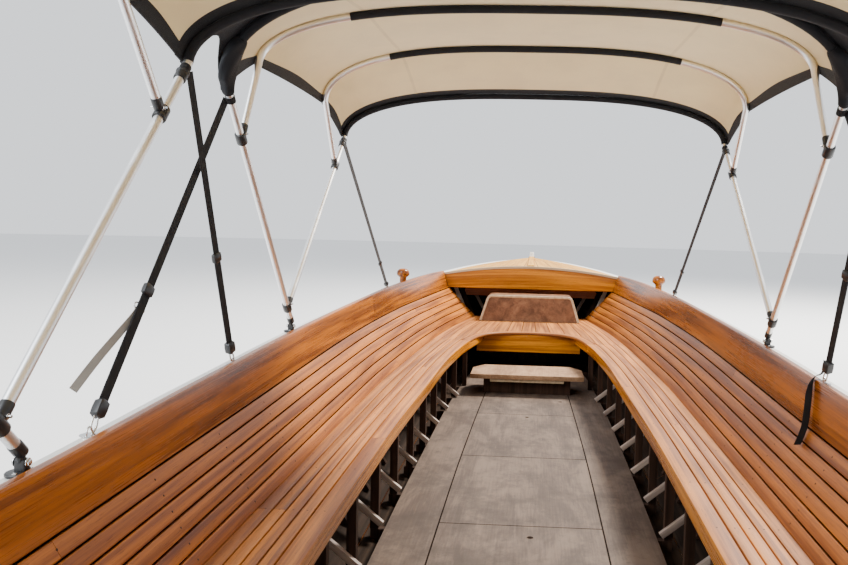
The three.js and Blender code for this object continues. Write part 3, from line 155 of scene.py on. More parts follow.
gunwale_y, gunwale_z = curve(GUNWALE_Y), curve(GUNWALE_Z)
chine_y, chine_z, keel_z = curve(CHINE_Y), curve(CHINE_Z), curve(KEEL_Z)
backrest_y, backrest_z = curve(BACKREST_TOP_Y), curve(BACKREST_TOP_Z)
junction_y, bench_front_y = curve(JUNCTION_Y), curve(BENCH_FRONT_Y)
floor_seam_y, floor_edge_y = curve(FLOOR_SEAM_Y), curve(FLOOR_EDGE_Y)


def blend(a, b, share):
    """The mean of a and b that holds a share of b."""
    return a + (b - a) * share


def stepped(start, end, count):
    """Points in even steps from one point to another."""
    return blend(start, end, np.linspace(0, 1, count)[:, None])


def spokes(count, first=0.0):
    """Unit vectors of two coordinates, evenly around a circle from a first angle."""
    angle = first + TAU * np.arange(count) / count
    return np.stack([np.cos(angle), np.sin(angle)], axis=-1)


def points(*parts):
    """Arrays of x, y and z, of any shapes that fit together, as one array of points."""
    return np.stack(np.broadcast_arrays(*parts), axis=-1).astype(float)


def sections(*corners):
    """Rings of a board: each corner is x, y and z, which may be numbers or run along the board."""
    return np.stack([points(*corner) for corner in corners], axis=1)


def oblong(width, height):
    """Corners of a rectangle about its middle, from its half width and half height."""
    return np.array([(-width, -height), (width, -height), (width, height), (-width, height)])


def unit(vectors):
    """Vectors divided by their own length."""
    length = np.linalg.norm(vectors, axis=-1, keepdims=True)
    return vectors / np.maximum(length, 1e-12)


def lean(x, aft, fore):
    """Where a station that tops out at x meets the chine or keel: it leans in towards both ends."""
    back = blend(QUARTER, aft, (QUARTER - x) / (QUARTER - AFT_END))
    front = blend(DECK_EDGE, fore, (x - DECK_EDGE) / (FORE_END - DECK_EDGE))
    return np.where(x < QUARTER, back, np.where(x > DECK_EDGE, front, x))


def bow_share(x):
    """Nothing as far as the bow's start, then growing evenly to 1 at the stem."""
    return np.clip((x - BOW_START) / (FORE_END - BOW_START), 0, 1)


def fullness(x):
    """The power of a side's curve: 2 amidships, falling to 1.15 at the stem."""
    return blend(2.0, 1.15, np.clip((x - FULL_UNTIL) / (FORE_END - FULL_UNTIL), 0, 1) ** 0.7)


def side_point(x, t):
    """Outer face of a side's planking, from the chine at t = 0 to the rail at t = 1.

    The breadth grows evenly with t. The height, and the lean of the station, grow with a power of
    t, so that the side leaves the chine flat and ends upright.
    """
    foot = lean(x, *CHINE_ENDS)
    rise = t ** fullness(x)
    top_y = gunwale_y(x) + PLANKING_OUT - BOW_TAPER * bow_share(x)
    top_z = gunwale_z(x) - RAIL_DROP - RAIL_HEIGHT
    return points(blend(foot, x, rise), blend(chine_y(foot), top_y, t), blend(chine_z(foot), top_z, rise))


def bottom_point(x, v):
    """Outer face of the bottom, from chine to chine as v goes from -1 to 1, over the keel at 0.

    The breadth is v times the chine's. The height goes from keel to chine with a power of v.
    """
    a = np.abs(v)
    foot, keel = lean(x, *CHINE_ENDS), lean(x, *KEEL_ENDS)
    return points(blend(keel, foot, a), v * chine_y(foot), blend(keel_z(keel), chine_z(foot), a**1.15))


def inner_y(x, z):
    """Breadth of the planking's inner face at a height, aft of the foredeck's edge."""
    head = gunwale_z(x) - RAIL_DROP - RAIL_HEIGHT
    rise = np.clip((z - chine_z(x)) / (head - chine_z(x)), 0, 1)
    t = rise ** (1 / fullness(x))
    return blend(chine_y(x), gunwale_y(x) + PLANKING_OUT, t) - PLANKING - 0.003


def deck_z(x, share, centre):
    """A cambered deck's height: from the centre to the rail with the square of the share of the way."""
    return blend(centre, gunwale_z(x) - RAIL_DROP - 0.002, share**2)


def rounded(corners, radius, steps=3):
    """Outlines (..., corners, 3) whose corners give way to arcs.

    Each arc starts and ends one radius from its corner, along the two edges, and bends towards the
    corner as a quadratic curve does. No arc takes more than 0.45 of an edge.
    """
    c = np.asarray(corners, float)
    back = np.roll(c, 1, axis=-2) - c
    ahead = np.roll(c, -1, axis=-2) - c
    shortest = np.minimum(np.linalg.norm(back, axis=-1), np.linalg.norm(ahead, axis=-1))
    r = np.minimum(radius, 0.45 * shortest)[..., None]
    start, end = c + unit(back) * r, c + unit(ahead) * r
    t = np.linspace(0, 1, steps + 1)[:, None]
    arcs = (1 - t) ** 2 * start[..., None, :] + 2 * t * (1 - t) * c[..., None, :] + t**2 * end[..., None, :]
    return arcs.reshape(*c.shape[:-2], -1, c.shape[-1])


def length_run(path):
    """The length run so far at each point of a path."""
    return np.concatenate([[0], np.linalg.norm(np.diff(path, axis=0), axis=1).cumsum()])


def carried(path, section, side=None, up=(0, 0, 1)):
    """Rings of a section of (side, up) points, square to a path.

    The side axis is the cross product of the path's direction and the up axis, and the top axis
    the cross product of side and direction. A section may differ from ring to ring.
    """
    path = np.asarray(path, float)
    ahead = unit(np.gradient(path, axis=0))
    across = unit(np.cross(ahead, np.asarray(up, float))) if side is None else unit(side)
    top = np.cross(across, ahead)
    section = np.broadcast_to(section, (len(path), *np.shape(section)[-2:]))
    return (
        path[:, None]
        + section[..., :1] * across[:, None]
        + section[..., 1:] * top[:, None]
    )


def turned(profile, axis=(0, 0, 1), centre=(0, 0, 0), sides=24):
    """Rings of a profile of (radius, height) rows, turned about an axis through a centre."""
    axis = unit(np.asarray(axis, float))
    first = unit(np.cross(axis, (0.3, 1, 0.2) if abs(axis[1]) < 0.9 else (1, 0.3, 0.2)))
    second = np.cross(axis, first)
    radius, height = np.array(profile, float).T
    ring = spokes(sides)
    around = ring[:, :1] * first + ring[:, 1:] * second
    return np.asarray(centre) + radius[:, None, None] * around + height[:, None, None] * axis


def through(knots, count):
    """A smooth path through knots: each coordinate is a smooth curve of the length run so far."""
    knots = np.asarray(knots, float)
    run = length_run(knots)
    at = np.linspace(0, run[-1], count)
    return np.stack([curve(np.column_stack([run, column]))(at) for column in knots.T], axis=-1)


class Pile:
    """Closed surfaces gathered into one mesh, each with its own grain direction and shade."""

    def __init__(self, seed):
        self.random = np.random.default_rng(seed)
        self.vertices, self.faces, self.grain, self.tone, self.slots = [], [], [], [], []
        self.count = 0

    def take(self, vertices, faces, grain=None, tone=0.5, slot=0):
        """Adds points and the faces between them."""
        vertices = np.asarray(vertices, float).reshape(-1, 3)
        self.vertices.append(vertices)
        self.faces.extend([[i + self.count for i in face] for face in faces])
        self.grain.append(vertices if grain is None else grain.reshape(-1, 3))
        self.tone.append(np.full(len(vertices), tone))
        self.slots.extend(np.broadcast_to(slot, len(faces)).tolist())
        self.count += len(vertices)

    def rings(self, rings, tone=0.5, slot=0, grain=None, loop=False):
        """A skin through rings of points, its ends filled unless they meet.

        The faces turn outwards where the volume, summed as the dot product of each face's corner
        with its area vector, comes out positive. A slot may be given for each edge around the
        rings, and the ends then take the first one.
        """
        rings = np.asarray(rings, float)
        n, k = rings.shape[:2]
        index = np.arange(n * k).reshape(n, k)
        if loop:
            index = np.concatenate([index, index[:1]])
        a, b = index[:-1], np.roll(index[:-1], -1, axis=1)
        c, d = np.roll(index[1:], -1, axis=1), index[1:]
        quads = np.stack([a, b, c, d], axis=-1).reshape(-1, 4)
        flat = rings.reshape(-1, 3) - rings.reshape(-1, 3).mean(axis=0)
        p, q, r, s = (flat[quads[:, i]] for i in range(4))
        volume = np.sum(p * np.cross(r - p, s - q))
        if not loop:
            for ring, sign in ((flat[:k], -1), (flat[-k:], 1)):
                fan = np.cross(ring[1:-1] - ring[0], ring[2:] - ring[0]).sum(axis=0)
                volume += sign * ring[0] @ fan
        if volume < 0:
            quads = quads[:, ::-1]
        faces = quads.tolist()
        if np.ndim(slot):
            slot = [*np.tile(slot, len(quads) // k), *([] if loop else [slot[0]] * 2)]
        if not loop:
            first, last = index[0].tolist(), index[-1].tolist()
            faces += [first[::-1], last] if volume >= 0 else [first, last[::-1]]
        self.take(rings, faces, grain, tone, slot)

    def board(self, corners, radius=0.003, steps=2, tone=None, slot=0):
        """A board through rings of corners, whose first edge is its face.

        The grain holds, for each point, the length run so far, the place across the face and the
        depth from it, plus a random shift of its own for each board.
        """
        corners = np.asarray(corners, float)
        middle = corners.mean(axis=1)
        run = length_run(middle)
        ring = rounded(corners, radius, steps)
        across = unit(corners[:, 1] - corners[:, 0])
        depth = np.cross(unit(np.gradient(middle, axis=0)), across)
        offset = ring - middle[:, None]
        shift = self.random.uniform(0, 40, 3)
        grain = points(
            run[:, None] + shift[0],
            np.einsum("nkc,nc->nk", offset, across) + shift[1],
            np.einsum("nkc,nc->nk", offset, depth) + shift[2],
        )
        self.rings(ring, self.random.uniform() if tone is None else tone, slot, grain)

    def block(self, low, high, radius=0.003, slot=0, along=0):
        """A box with eased edges: a rounded outline that shrinks by the radius at both ends."""
        low, high = np.array(low, float), np.array(high, float)
        u, v = [i for i in range(3) if i != along]
        section = np.zeros((4, 3))
        section[:, u] = [low[u], high[u], high[u], low[u]]
        section[:, v] = [low[v], low[v], high[v], high[v]]
        middle = (low + high) / 2
        ring = rounded(section, 1.6 * radius, 3)
        small = middle + (ring - middle) * (1 - radius / (high - low) * 2)
        levels = (low[along], low[along] + radius, high[along] - radius, high[along])
        rings = np.stack([small, ring, ring, small])
        rings[..., along] = np.array(levels)[:, None]
        self.rings(rings, slot=slot)

    def tube(self, path, radius, sides, up=(0, 0, 1), slot=0):
        """A round tube along a path, of one radius or one for each point."""
        ring = spokes(sides) * np.broadcast_to(radius, len(path))[:, None, None]
        self.rings(carried(path, ring, up=up), slot=slot)

    def strap(self, path, width, thick, side):
        """A flat band along a path, with the length and width in its grain for the weave."""
        w, t = width / 2, thick / 2
        section = np.array([[-w, -t], [-w * 0.96, -t], [w * 0.96, -t], [w, -t * 0.4], [w, t * 0.4],
                            [w * 0.96, t], [-w * 0.96, t], [-w, t * 0.4]])
        grain = points(length_run(path)[:, None], section[None, :, 0], section[None, :, 1])
        self.rings(carried(path, section, side), grain=grain)

    def turned(self, profile, axis=(0, 0, 1), centre=(0, 0, 0), sides=24, slot=0):
        """A turned solid, its ends filled."""
        self.rings(turned(profile, axis, centre, sides), slot=slot)

    def bolt(self, centre, axis, radius, height, slot=0):
        """A six-sided head on a washer."""
        self.turned(
            [(radius * 1.5, 0), (radius * 1.5, height * 0.2), (radius * 1.42, height * 0.25)],
            axis, centre, 16, slot,
        )
        self.turned(
            [(radius, height * 0.2), (radius * 1.1, height * 0.3), (radius * 1.1, height * 0.85),
             (radius * 0.9, height)],
            axis, centre, 6, slot,
        )

    def stamped(self, template, faces, origins, axes):
        """Copies of a small shape that stands on a plane, at origins and along axes."""
        axes = unit(np.asarray(axes, float))
        first = unit(np.cross(axes, (0.31, 0.2, 0.93)))
        second = np.cross(axes, first)
        placed = (
            np.asarray(origins)[:, None]
            + template[None, :, :1] * first[:, None]
            + template[None, :, 1:2] * second[:, None]
            + template[None, :, 2:] * axes[:, None]
        )
        n = len(template)
        moved = [[i + n * k for i in face] for k in range(len(placed)) for face in faces]
        self.take(placed, moved)

    def mesh(self, name):
        """The gathered surfaces as one mesh, smooth except over its sharp edges."""
        mesh = bpy.data.meshes.new(name)
        mesh.from_pydata(np.concatenate(self.vertices).tolist(), [], self.faces)
        grain = mesh.attributes.new("grain", "FLOAT_VECTOR", "POINT")
        grain.data.foreach_set("vector", np.concatenate(self.grain).ravel())
        tone = mesh.attributes.new("tone", "FLOAT", "POINT")
        tone.data.foreach_set("value", np.concatenate(self.tone))
        mesh.polygons.foreach_set("material_index", self.slots)
        mesh.polygons.foreach_set("use_smooth", np.ones(len(mesh.polygons), bool))
        mesh.set_sharp_from_angle(angle=np.radians(SHARP))
        mesh.update()
        return mesh


def piece(name, pile, finishes, body="root", replaces=()):
    """Turns a pile into an object that rides on a body and may stand for CAD nodes."""
    made = bpy.data.objects.new(name, pile.mesh(name))
    bpy.context.scene.collection.objects.link(made)
    for one in finishes if isinstance(finishes, (list, tuple)) else [finishes]:
        made.data.materials.append(finish(one))
    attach(made, body)
    if replaces:
        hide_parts(*replaces)
    return made


def dress(nodes, name):
    """Gives CAD nodes that stay a procedural finish."""
    for node in nodes:
        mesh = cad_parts[node].data
        mesh.materials.clear()
        mesh.materials.append(finish(name))


class Value:
    """A number that varies over a surface: a sum on it adds Math nodes to its material."""

    def __init__(self, material, socket):
        self.material = material
        self.socket = socket

    def math(self, operation, *terms):
        """A Math node over the terms."""
        return self.material.node("ShaderNodeMath", {"operation": operation}, terms)

    def sine(self):
        """The sine of this value."""
        return self.math("SINE", self)

    def __add__(self, other):
        return self.math("ADD", self, other)

    def __sub__(self, other):
        return self.math("SUBTRACT", self, other)

    def __rsub__(self, other):
        return self.math("SUBTRACT", other, self)

    def __mul__(self, other):
        return self.math("MULTIPLY", self, other)

    __radd__ = __add__
    __rmul__ = __mul__


class Finish:
    """A material whose nodes are written as expressions."""

    def __init__(self, name):
        self.material = bpy.data.materials.new(name)
        self.material.use_nodes = True
        self.tree = self.material.node_tree
        self.tree.nodes.clear()

    def node(self, kind, settings=None, sockets=(), output=0):
        """Adds a node: its settings first, then its sockets by name or place, as values or links."""
        made = self.tree.nodes.new(kind)
        for key, value in (settings or {}).items():
            if key == "stops":
                ramp = made.color_ramp.elements
                while len(ramp) < len(value):
                    ramp.new(0.5)
                for element, (place, colour) in zip(ramp, value):
                    element.position, element.color = place, (*colour[:3], 1)
            else:
                setattr(made, key, value)
        for key, value in sockets.items() if isinstance(sockets, dict) else enumerate(sockets):
            if isinstance(value, Value):
                self.tree.links.new(value.socket, made.inputs[key])
            else:
                made.inputs[key].default_value = value
        return Value(self, made.outputs[output]) if len(made.outputs) else None

    def place(self, source, scale=(1, 1, 1), turn=(0, 0, 0)):
        """Object coordinates, or the grain attribute, stretched and turned."""
        if source == "object":
            start = self.node("ShaderNodeTexCoord", output=3)
        else:
            start = self.node("ShaderNodeAttribute", {"attribute_name": source}, output=1)
        return self.node("ShaderNodeMapping", {}, {"Vector": start, "Scale": scale, "Rotation": turn})

    def noise(self, at, scale, detail, rough=0.55, bend=0.0):
        """Soft noise between 0 and 1."""
        sockets = {"Vector": at, "Scale": scale, "Detail": detail, "Roughness": rough, "Distortion": bend}
        return self.node("ShaderNodeTexNoise", {}, sockets)

    def step(self, value, low, high):
        """0 below a low value and 1 above a high one, with a smooth way between."""
        settings = {"interpolation_type": "SMOOTHSTEP"}
        return self.node("ShaderNodeMapRange", settings, [value, low, high, 0.0, 1.0])

    def mix(self, share, a, b, kind="MIX"):
        """Two colours mixed by a share."""
        sockets = {0: share, 6: opaque(a), 7: opaque(b)}
        return self.node("ShaderNodeMix", {"data_type": "RGBA", "blend_type": kind}, sockets, 2)

    def ramp(self, value, stops):
        """A colour read from a ramp at a value."""
        return self.node("ShaderNodeValToRGB", {"stops": stops}, [value])

    def bump(self, height, distance, strength):
        """A normal bent by a height."""
        return self.node("ShaderNodeBump", {}, {"Height": height, "Distance": distance, "Strength": strength})

    def surface(self, sockets):
        """The finished shader, and the material."""
        shader = self.node("ShaderNodeBsdfPrincipled", {}, sockets)
        self.node("ShaderNodeOutputMaterial", {}, [shader])
        return self.material


def opaque(colour):
    """A colour with its alpha, or a link as it is."""
    return colour if isinstance(colour, Value) else (*tuple(colour)[:3], 1.0)


def darker(colour, share):
    """A colour with a share of its light."""
    return tuple(c * share for c in colour)


def stretched(axis, along, across):
    """A scale with one value along an axis and another along the two others."""
    return tuple(along if i == axis else across for i in range(3))


def wood(name, dark, light, rough, coat=0.0, source="grain", axis=0, dirt=None, spread=0.3,
         shine=0.5):
    """Planks: long stripes of figure, fine fibres and short dark pores, along an axis.

    The figure adds streaks, fibres and the sine of a broad noise, whose bands follow the noise's
    contours as year rings do. Each board's shade is a share of darkening from its tone.
    """
    f = Finish(name)
    broad = f.noise(f.place(source, stretched(axis, 0.28, 11.0)), 1.0, 3.0, 0.5, 0.2)
    rings = (broad * 34.0).sine() * 0.5 + 0.5
    streak = f.noise(f.place(source, stretched(axis, 1.1, 55.0)), 1.0, 4.0, 0.6)
    fibre = f.noise(f.place(source, stretched(axis, 4.0, 230.0)), 1.0, 3.0, 0.6)
    pores = f.step(f.noise(f.place(source, stretched(axis, 20.0, 640.0)), 1.0, 1.0), 0.60, 0.72)
    cloud = f.noise(f.place(source, stretched(axis, 0.9, 3.0)), 1.6, 4.0)
    figure = rings * 0.16 + streak * 0.46 + fibre * 0.26 + cloud * 0.26
    colour = f.mix(f.step(figure, 0.36, 0.78), dark, light)
    if source == "grain":
        tone = f.node("ShaderNodeAttribute", {"attribute_name": "tone"}, output=2)
        shade = f.ramp(tone, [(0.0, (1 - spread,) * 3), (1.0, (1.0, 1.0, 1.0))])
        colour = f.mix(1.0, colour, shade, "MULTIPLY")
    colour = f.mix(pores * 0.45, colour, darker(dark, 0.35))
    if dirt:
        soil = f.noise(f.place("object"), 4.5, 6.0, 0.65)
        colour = f.mix(f.step(soil, 0.44, 0.78) * dirt[1], colour, dirt[0])
    gloss = rough + 0.14 * (cloud - 0.5) + 0.10 * (fibre - 0.5)
    height = fibre * 0.5 + streak * 0.3 - pores * 0.5
    return f.surface({
        "Base Color": colour,
        "Roughness": gloss,
        "Coat Weight": coat,
        "Coat Roughness": 0.12,
        "Specular IOR Level": shine,
        "Normal": f.bump(height, 0.0004, 0.6),
    })


def plywood(name, dark, light, stain):
    """Worn plywood: soft fibres along the boat, blotches, pale scuffs and dark damp stains."""
    f = Finish(name)
    fibre = f.noise(f.place("object", (5.0, 110.0, 110.0)), 1.0, 4.0, 0.65)
    figure = f.noise(f.place("object", (1.4, 5.0, 5.0)), 1.0, 5.0, 0.6, 1.3)
    blotch = f.noise(f.place("object"), 3.6, 8.0, 0.74)
    spots = f.noise(f.place("object"), 21.0, 5.0, 0.65)
    scuff = f.step(f.noise(f.place("object", (6.0, 45.0, 45.0), (0, 0, 0.3)), 1.0, 3.0), 0.63, 0.74)
    colour = f.mix(f.step(fibre * 0.28 + figure * 0.72, 0.36, 0.64), dark, light)
    colour = f.mix(f.step(blotch, 0.44, 0.66) * 0.7, colour, stain)
    colour = f.mix(f.step(spots, 0.54, 0.72) * 0.4, colour, darker(dark, 0.6))
    colour = f.mix(scuff * 0.16, colour, tuple(min(1.0, c * 1.6) for c in light))
    height = fibre * 0.6 + blotch * 0.4
    return f.surface({
        "Base Color": colour,
        "Roughness": 0.62 + 0.25 * (blotch - 0.4),
        "Specular IOR Level": 0.3,
        "Normal": f.bump(height, 0.0008, 0.7),
    })


def paint(name, colour, rough, wear, wear_share=0.5, source="object", scale=1.0, metallic=0.0):
    """Brushed paint: faint brush strokes and orange peel, with worn or dirty patches."""
    f = Finish(name)
    strokes = f.noise(f.place(source, (3.0, 60.0, 60.0)), scale, 3.0)
    peel = f.noise(f.place(source), 240.0 * scale, 2.0)
    patch = f.noise(f.place(source), 7.0 * scale, 7.0, 0.68)
    worn = f.step(patch, 0.52, 0.74) * wear_share
    brushed = f.mix(f.step(strokes, 0.3, 0.7) * 0.25, colour, darker(colour, 0.86))
    return f.surface({
        "Base Color": f.mix(worn, brushed, wear),
        "Metallic": metallic,
        "Roughness": rough + 0.35 * (patch - 0.45),
        "Normal": f.bump(strokes * 0.5 + peel * 0.3 - worn * 0.6, 0.0004, 0.6),
    })


def metal(name, colour, rough, tarnish, tarnish_share=0.3, scratch=0.08, scale=1.0, relief=0.0002):
    """Bare metal: fine scratches, a cloudy polish and tarnish in patches."""
    f = Finish(name)
    cloud = f.noise(f.place("object"), 9.0 * scale, 6.0, 0.62)
    fine = f.noise(f.place("object", (60.0, 60.0, 420.0)), scale, 2.0)
    pits = f.step(f.noise(f.place("object"), 160.0 * scale, 3.0), 0.60, 0.76)
    dull = f.step(cloud, 0.45, 0.72)
    shade = f.mix(dull * tarnish_share, colour, tarnish)
    return f.surface({
        "Base Color": f.mix(pits * tarnish_share * 0.7, shade, darker(tarnish, 0.5)),
        "Metallic": 1.0,
        "Roughness": rough + dull * 0.18 + scratch * (fine - 0.5),
        "Normal": f.bump(fine * 0.4 - pits * 0.4, relief, 0.5),
    })


def iron(name):
    """Rusty iron: scaly brown and orange rust over dark metal."""
    f = Finish(name)
    scale = f.noise(f.place("object"), 38.0, 8.0, 0.7)
    patch = f.noise(f.place("object"), 8.0, 6.0, 0.6)
    rust = f.step(patch * 0.6 + scale * 0.4, 0.36, 0.6)
    shades = ((0.3, (0.045, 0.022, 0.014)), (0.55, (0.17, 0.065, 0.028)), (0.75, (0.34, 0.14, 0.05)))
    brown = f.ramp(scale, shades)
    return f.surface({
        "Base Color": f.mix(rust, (0.06, 0.058, 0.056), brown),
        "Metallic": 0.75 - 0.7 * rust,
        "Roughness": 0.45 + 0.4 * rust,
        "Normal": f.bump(scale, 0.0015, 0.8),
    })


def weave(name, colour, shadow, threads, rough=0.8, sheen=0.2, mottle=0.35):
    """Woven cloth: warp and weft as two crossed waves on the length and width in the grain."""
    f = Finish(name)
    flat = f.node("ShaderNodeAttribute", {"attribute_name": "grain"}, output=1)
    along = f.node("ShaderNodeSeparateXYZ", {}, [flat], 0)
    across = f.node("ShaderNodeSeparateXYZ", {}, [flat], 1)
    warp = (along * (threads * TAU)).sine()
    weft = (across * (threads * TAU)).sine()
    cross = warp * weft
    cloud = f.noise(f.place("object"), 5.0, 6.0, 0.62)
    fine = f.noise(f.place("object"), 90.0, 3.0)
    shade = f.mix(f.step(cloud, 0.35, 0.72) * mottle, colour, shadow)
    shade = f.mix(f.step(cross, -0.9, 0.3) * 0.12 + fine * 0.1, shade, shadow)
    return f.surface({
        "Base Color": shade,
        "Roughness": rough,
        "Sheen Weight": sheen,
        "Sheen Roughness": 0.5,
        "Specular IOR Level": 0.3,
        "Normal": f.bump(cross * 0.5 + fine * 0.5, 0.0004, 0.5),
    })


def plastic(name, colour, rough):
    """Moulded plastic or rubber: fine spark texture and faint dusty clouding."""
    f = Finish(name)
    grit = f.noise(f.place("object"), 600.0, 2.0)
    dust = f.noise(f.place("object"), 14.0, 5.0, 0.6)
    return f.surface({
        "Base Color": f.mix(f.step(dust, 0.5, 0.8) * 0.35, colour, (0.12, 0.115, 0.105)),
        "Roughness": rough + 0.25 * (dust - 0.5),
        "Normal": f.bump(grit, 0.0002, 0.5),
    })


def backdrop(name, colour):
    """The studio floor: a plain pale matte surface."""
    f = Finish(name)
    cloud = f.noise(f.place("object"), 0.4, 3.0)
    return f.surface({
        "Base Color": f.mix(cloud * 0.08, colour, darker(colour, 0.92)),
        "Roughness": 0.85,
    })


def recipes(looks):
    """What each finish is made from: its function, then that function's values in their order.

    Wood takes dark, light, roughness, coat, source, axis, dirt, spread and shine, and plywood dark,
    light and stain. Paint takes colour, roughness, wear, its share, source, scale and metallic, and
    metal colour, roughness, tarnish, its share, scratches, scale and relief. A weave takes colour,
    shadow, threads, roughness, sheen and mottle, and plastic colour and roughness.
    """
    red, orange = looks.varnish_dark, looks.varnish_light
    return {
        "varnish": (wood, red, orange, looks.gloss, 0.14, "grain", 0, None, 0.2, 0.28),
        # a lighter, yellower copy of the varnish with painted sunlight in its colour, for the deck beam, the
        # benches' front strips and the bow bench's fascia and strips
        "beam_varnish": (wood, looks.sunlit_varnish_dark, looks.sunlit_varnish_light, looks.gloss, 0.12, "grain", 0, None,
                         0.1, 0.25),
        "varnish_across": (wood, red, orange, looks.gloss, 0.2, "object", 1, None, 0.3, 0.3),
        "hull_varnish": (wood, red, orange, 0.26, 0.35, "grain", 0, ((0.14, 0.07, 0.035), 0.35), 0.3),
        # bench planks and backrest slats are one wood in two copies: the bench planks paler with painted sky
        # light on their upward faces, the backrest slats deeper with painted shade
        "slats": (wood, looks.sky_lit_slat_dark, looks.sky_lit_slat_light, 0.42, 0.0, "grain", 0, None, 0.3, 0.25),
        "back_slats": (wood, looks.shaded_back_dark, looks.shaded_back_light, 0.38, 0.0, "grain", 0, None, 0.25, 0.22),
        "bottom": (wood, (0.03, 0.02, 0.014), (0.11, 0.07, 0.045), 0.6, 0.0, "grain", 0,
                   ((0.07, 0.075, 0.05), 0.6)),
        "keel": (wood, (0.035, 0.022, 0.014), (0.12, 0.07, 0.04), 0.5, 0.0, "object"),
        "frames": (wood, (0.020, 0.010, 0.006), (0.058, 0.030, 0.019), 0.7, 0.0, "object", 2, None,
                   0.3, 0.12),
        # pale struts: painted sunlight, standing for the lit edges of the frames under the benches
        "pale_frames": (wood, (0.34, 0.25, 0.20), (0.54, 0.42, 0.34), 0.55, 0.0, "grain"),
        # the forepeak's ribs and red board are brightened: painted light in the dark recess under the
        # foredeck
        "forepeak_ribs": (wood, (0.80, 0.66, 0.54), (0.95, 0.84, 0.72), 0.5, 0.0, "grain"),
        "red_board": (wood, (0.62, 0.19, 0.08), (0.90, 0.33, 0.15), 0.5, 0.0, "grain", 0, None, 0.2),
        "deck": (wood, looks.deck_dark, looks.deck_light, 0.55, 0.0, "grain", 0, None, 0.18, 0.15),
        "pale_wood": (wood, (0.42, 0.30, 0.17), (0.62, 0.49, 0.31), 0.4, 0.1, "grain", 0, None, 0.15),
        "plywood": (plywood, (0.070, 0.044, 0.031), (0.158, 0.108, 0.078), (0.050, 0.033, 0.024)),
        "step_wood": (plywood, (0.105, 0.042, 0.016), (0.25, 0.118, 0.054), (0.065, 0.028, 0.012)),
        "step_top": (plywood, (0.20, 0.10, 0.045), (0.40, 0.235, 0.125), (0.13, 0.068, 0.034)),
        "white_paint": (paint, (0.82, 0.81, 0.77), 0.3, (0.50, 0.46, 0.38), 0.35),
        # near-black inner faces of the planks: painted shade for the dark space under the benches
        "bilge": (wood, (0.016, 0.010, 0.007), (0.045, 0.028, 0.019), 0.8, 0.0, "grain", 0, None, 0.3, 0.06),
        "nails": (metal, (0.10, 0.07, 0.055), 0.55, (0.05, 0.03, 0.02), 0.5),
        "caulk": (plastic, (0.02, 0.018, 0.016), 0.6),
        "seam_shadow": (wood, (0.006, 0.004, 0.003), (0.02, 0.012, 0.009), 0.9, 0.0, "object", 0, None,
                        0.3, 0.03),
        "tube": (metal, (0.95, 0.95, 0.95), 0.36, (0.74, 0.73, 0.71), 0.1, 0.02, 1.0, 0.00001),
        "stainless": (metal, (0.72, 0.72, 0.71), 0.16, (0.45, 0.44, 0.42), 0.25, 0.08, 3.0),
        "nylon": (plastic, (0.018, 0.018, 0.019), 0.38),
        "canvas": (weave, looks.cloth, darker(looks.cloth, 0.72), 900.0, 0.75, 0.25, 0.3),
        "canvas_seam": (weave, darker(looks.cloth, 0.9), darker(looks.cloth, 0.6), 900.0),
        "black_cloth": (weave, (0.007, 0.008, 0.011), (0.018, 0.018, 0.021), 800.0, 0.8, 0.06),
        "webbing": (weave, (0.007, 0.007, 0.009), (0.02, 0.02, 0.022), 420.0, 0.75, 0.08),
        "grey_webbing": (weave, (0.36, 0.34, 0.31), (0.20, 0.19, 0.17), 420.0, 0.8, 0.3),
        "engine_paint": (paint, (0.045, 0.072, 0.088), 0.42, (0.05, 0.035, 0.025), 0.7, "object", 2.0, 0.15),
        "steel": (metal, (0.52, 0.52, 0.52), 0.30, (0.25, 0.20, 0.16), 0.55, 0.12, 1.5),
        "iron": (iron,),
        "bronze": (metal, (0.72, 0.50, 0.22), 0.24, (0.20, 0.26, 0.16), 0.45, 0.1, 3.0),
        "rubber": (plastic, (0.015, 0.015, 0.015), 0.62),
        "black_enamel": (paint, (0.018, 0.018, 0.020), 0.32, (0.06, 0.045, 0.035), 0.4, "object", 2.5, 0.1),
        "cast": (paint, (0.33, 0.33, 0.32), 0.5, (0.12, 0.10, 0.08), 0.6, "object", 3.0, 0.6),
        "studio_floor": (backdrop, looks.floor),
    }


def finish(name):
    """The material of that finish, made when it is first asked for."""
    full = f"{name}_finish"
    if full not in bpy.data.materials:
        recipe, *values = recipes(bpy.context.scene.longtail_looks)[name]
        recipe(full, *values)
    return bpy.data.materials[full]


def lay(pile, section, joints, step=0.11, **how):
    """Boards laid end to end: a section, as a function of x, carried from each joint to the next."""
    for start, end in zip(joints[:-1], joints[1:]):
        x = np.linspace(start + 0.0007, end - 0.0007, max(4, int((end - start) / step)))
        pile.board(section(x), **how)


def butts(pile, start, end, count):
    """The ends of a run of boards and, between them, joints at ribs picked by chance."""
    ribs = RIBS[(RIBS > start + 0.9) & (RIBS < end - 0.9)]
    picked = pile.random.choice(ribs, min(count, len(ribs)), replace=False)
    return [start, *sorted(picked.tolist()), end]


def flip(corners, sign):
    """Corners for one side: the port side's, with y turned over for the starboard side."""
    return np.asarray(corners) * (1.0, sign, 1.0)


def inward(surface, x, t, lowest):
    """Unit vectors square to the hull and into it.

    They are the cross product of the surface's two directions, which turns inwards both on the
    port side, where t runs up, and on the bottom, where it runs to port.
    """
    along = surface(x + 0.01, t) - surface(x - 0.01, t)
    across = surface(x, np.minimum(t + 0.01, 1)) - surface(x, np.maximum(t - 0.01, lowest))
    return unit(np.cross(along, across))


def shell_plank(surface, low, high, start, end, lowest):
    """A section of planking between two shares of a surface and two depths laid off inwards."""
    def section(x):
        x, t = np.broadcast_arrays(x[:, None], np.array([low, high]))
        face = surface(x, t)
        square = inward(surface, x, t, lowest)
        outer, inner = face + start * square, face + end * square
        if lowest == 0:
            inner[..., 1] = np.maximum(inner[..., 1], 0.0005)
        return np.concatenate([outer, inner[:, ::-1]], axis=1)

    return section


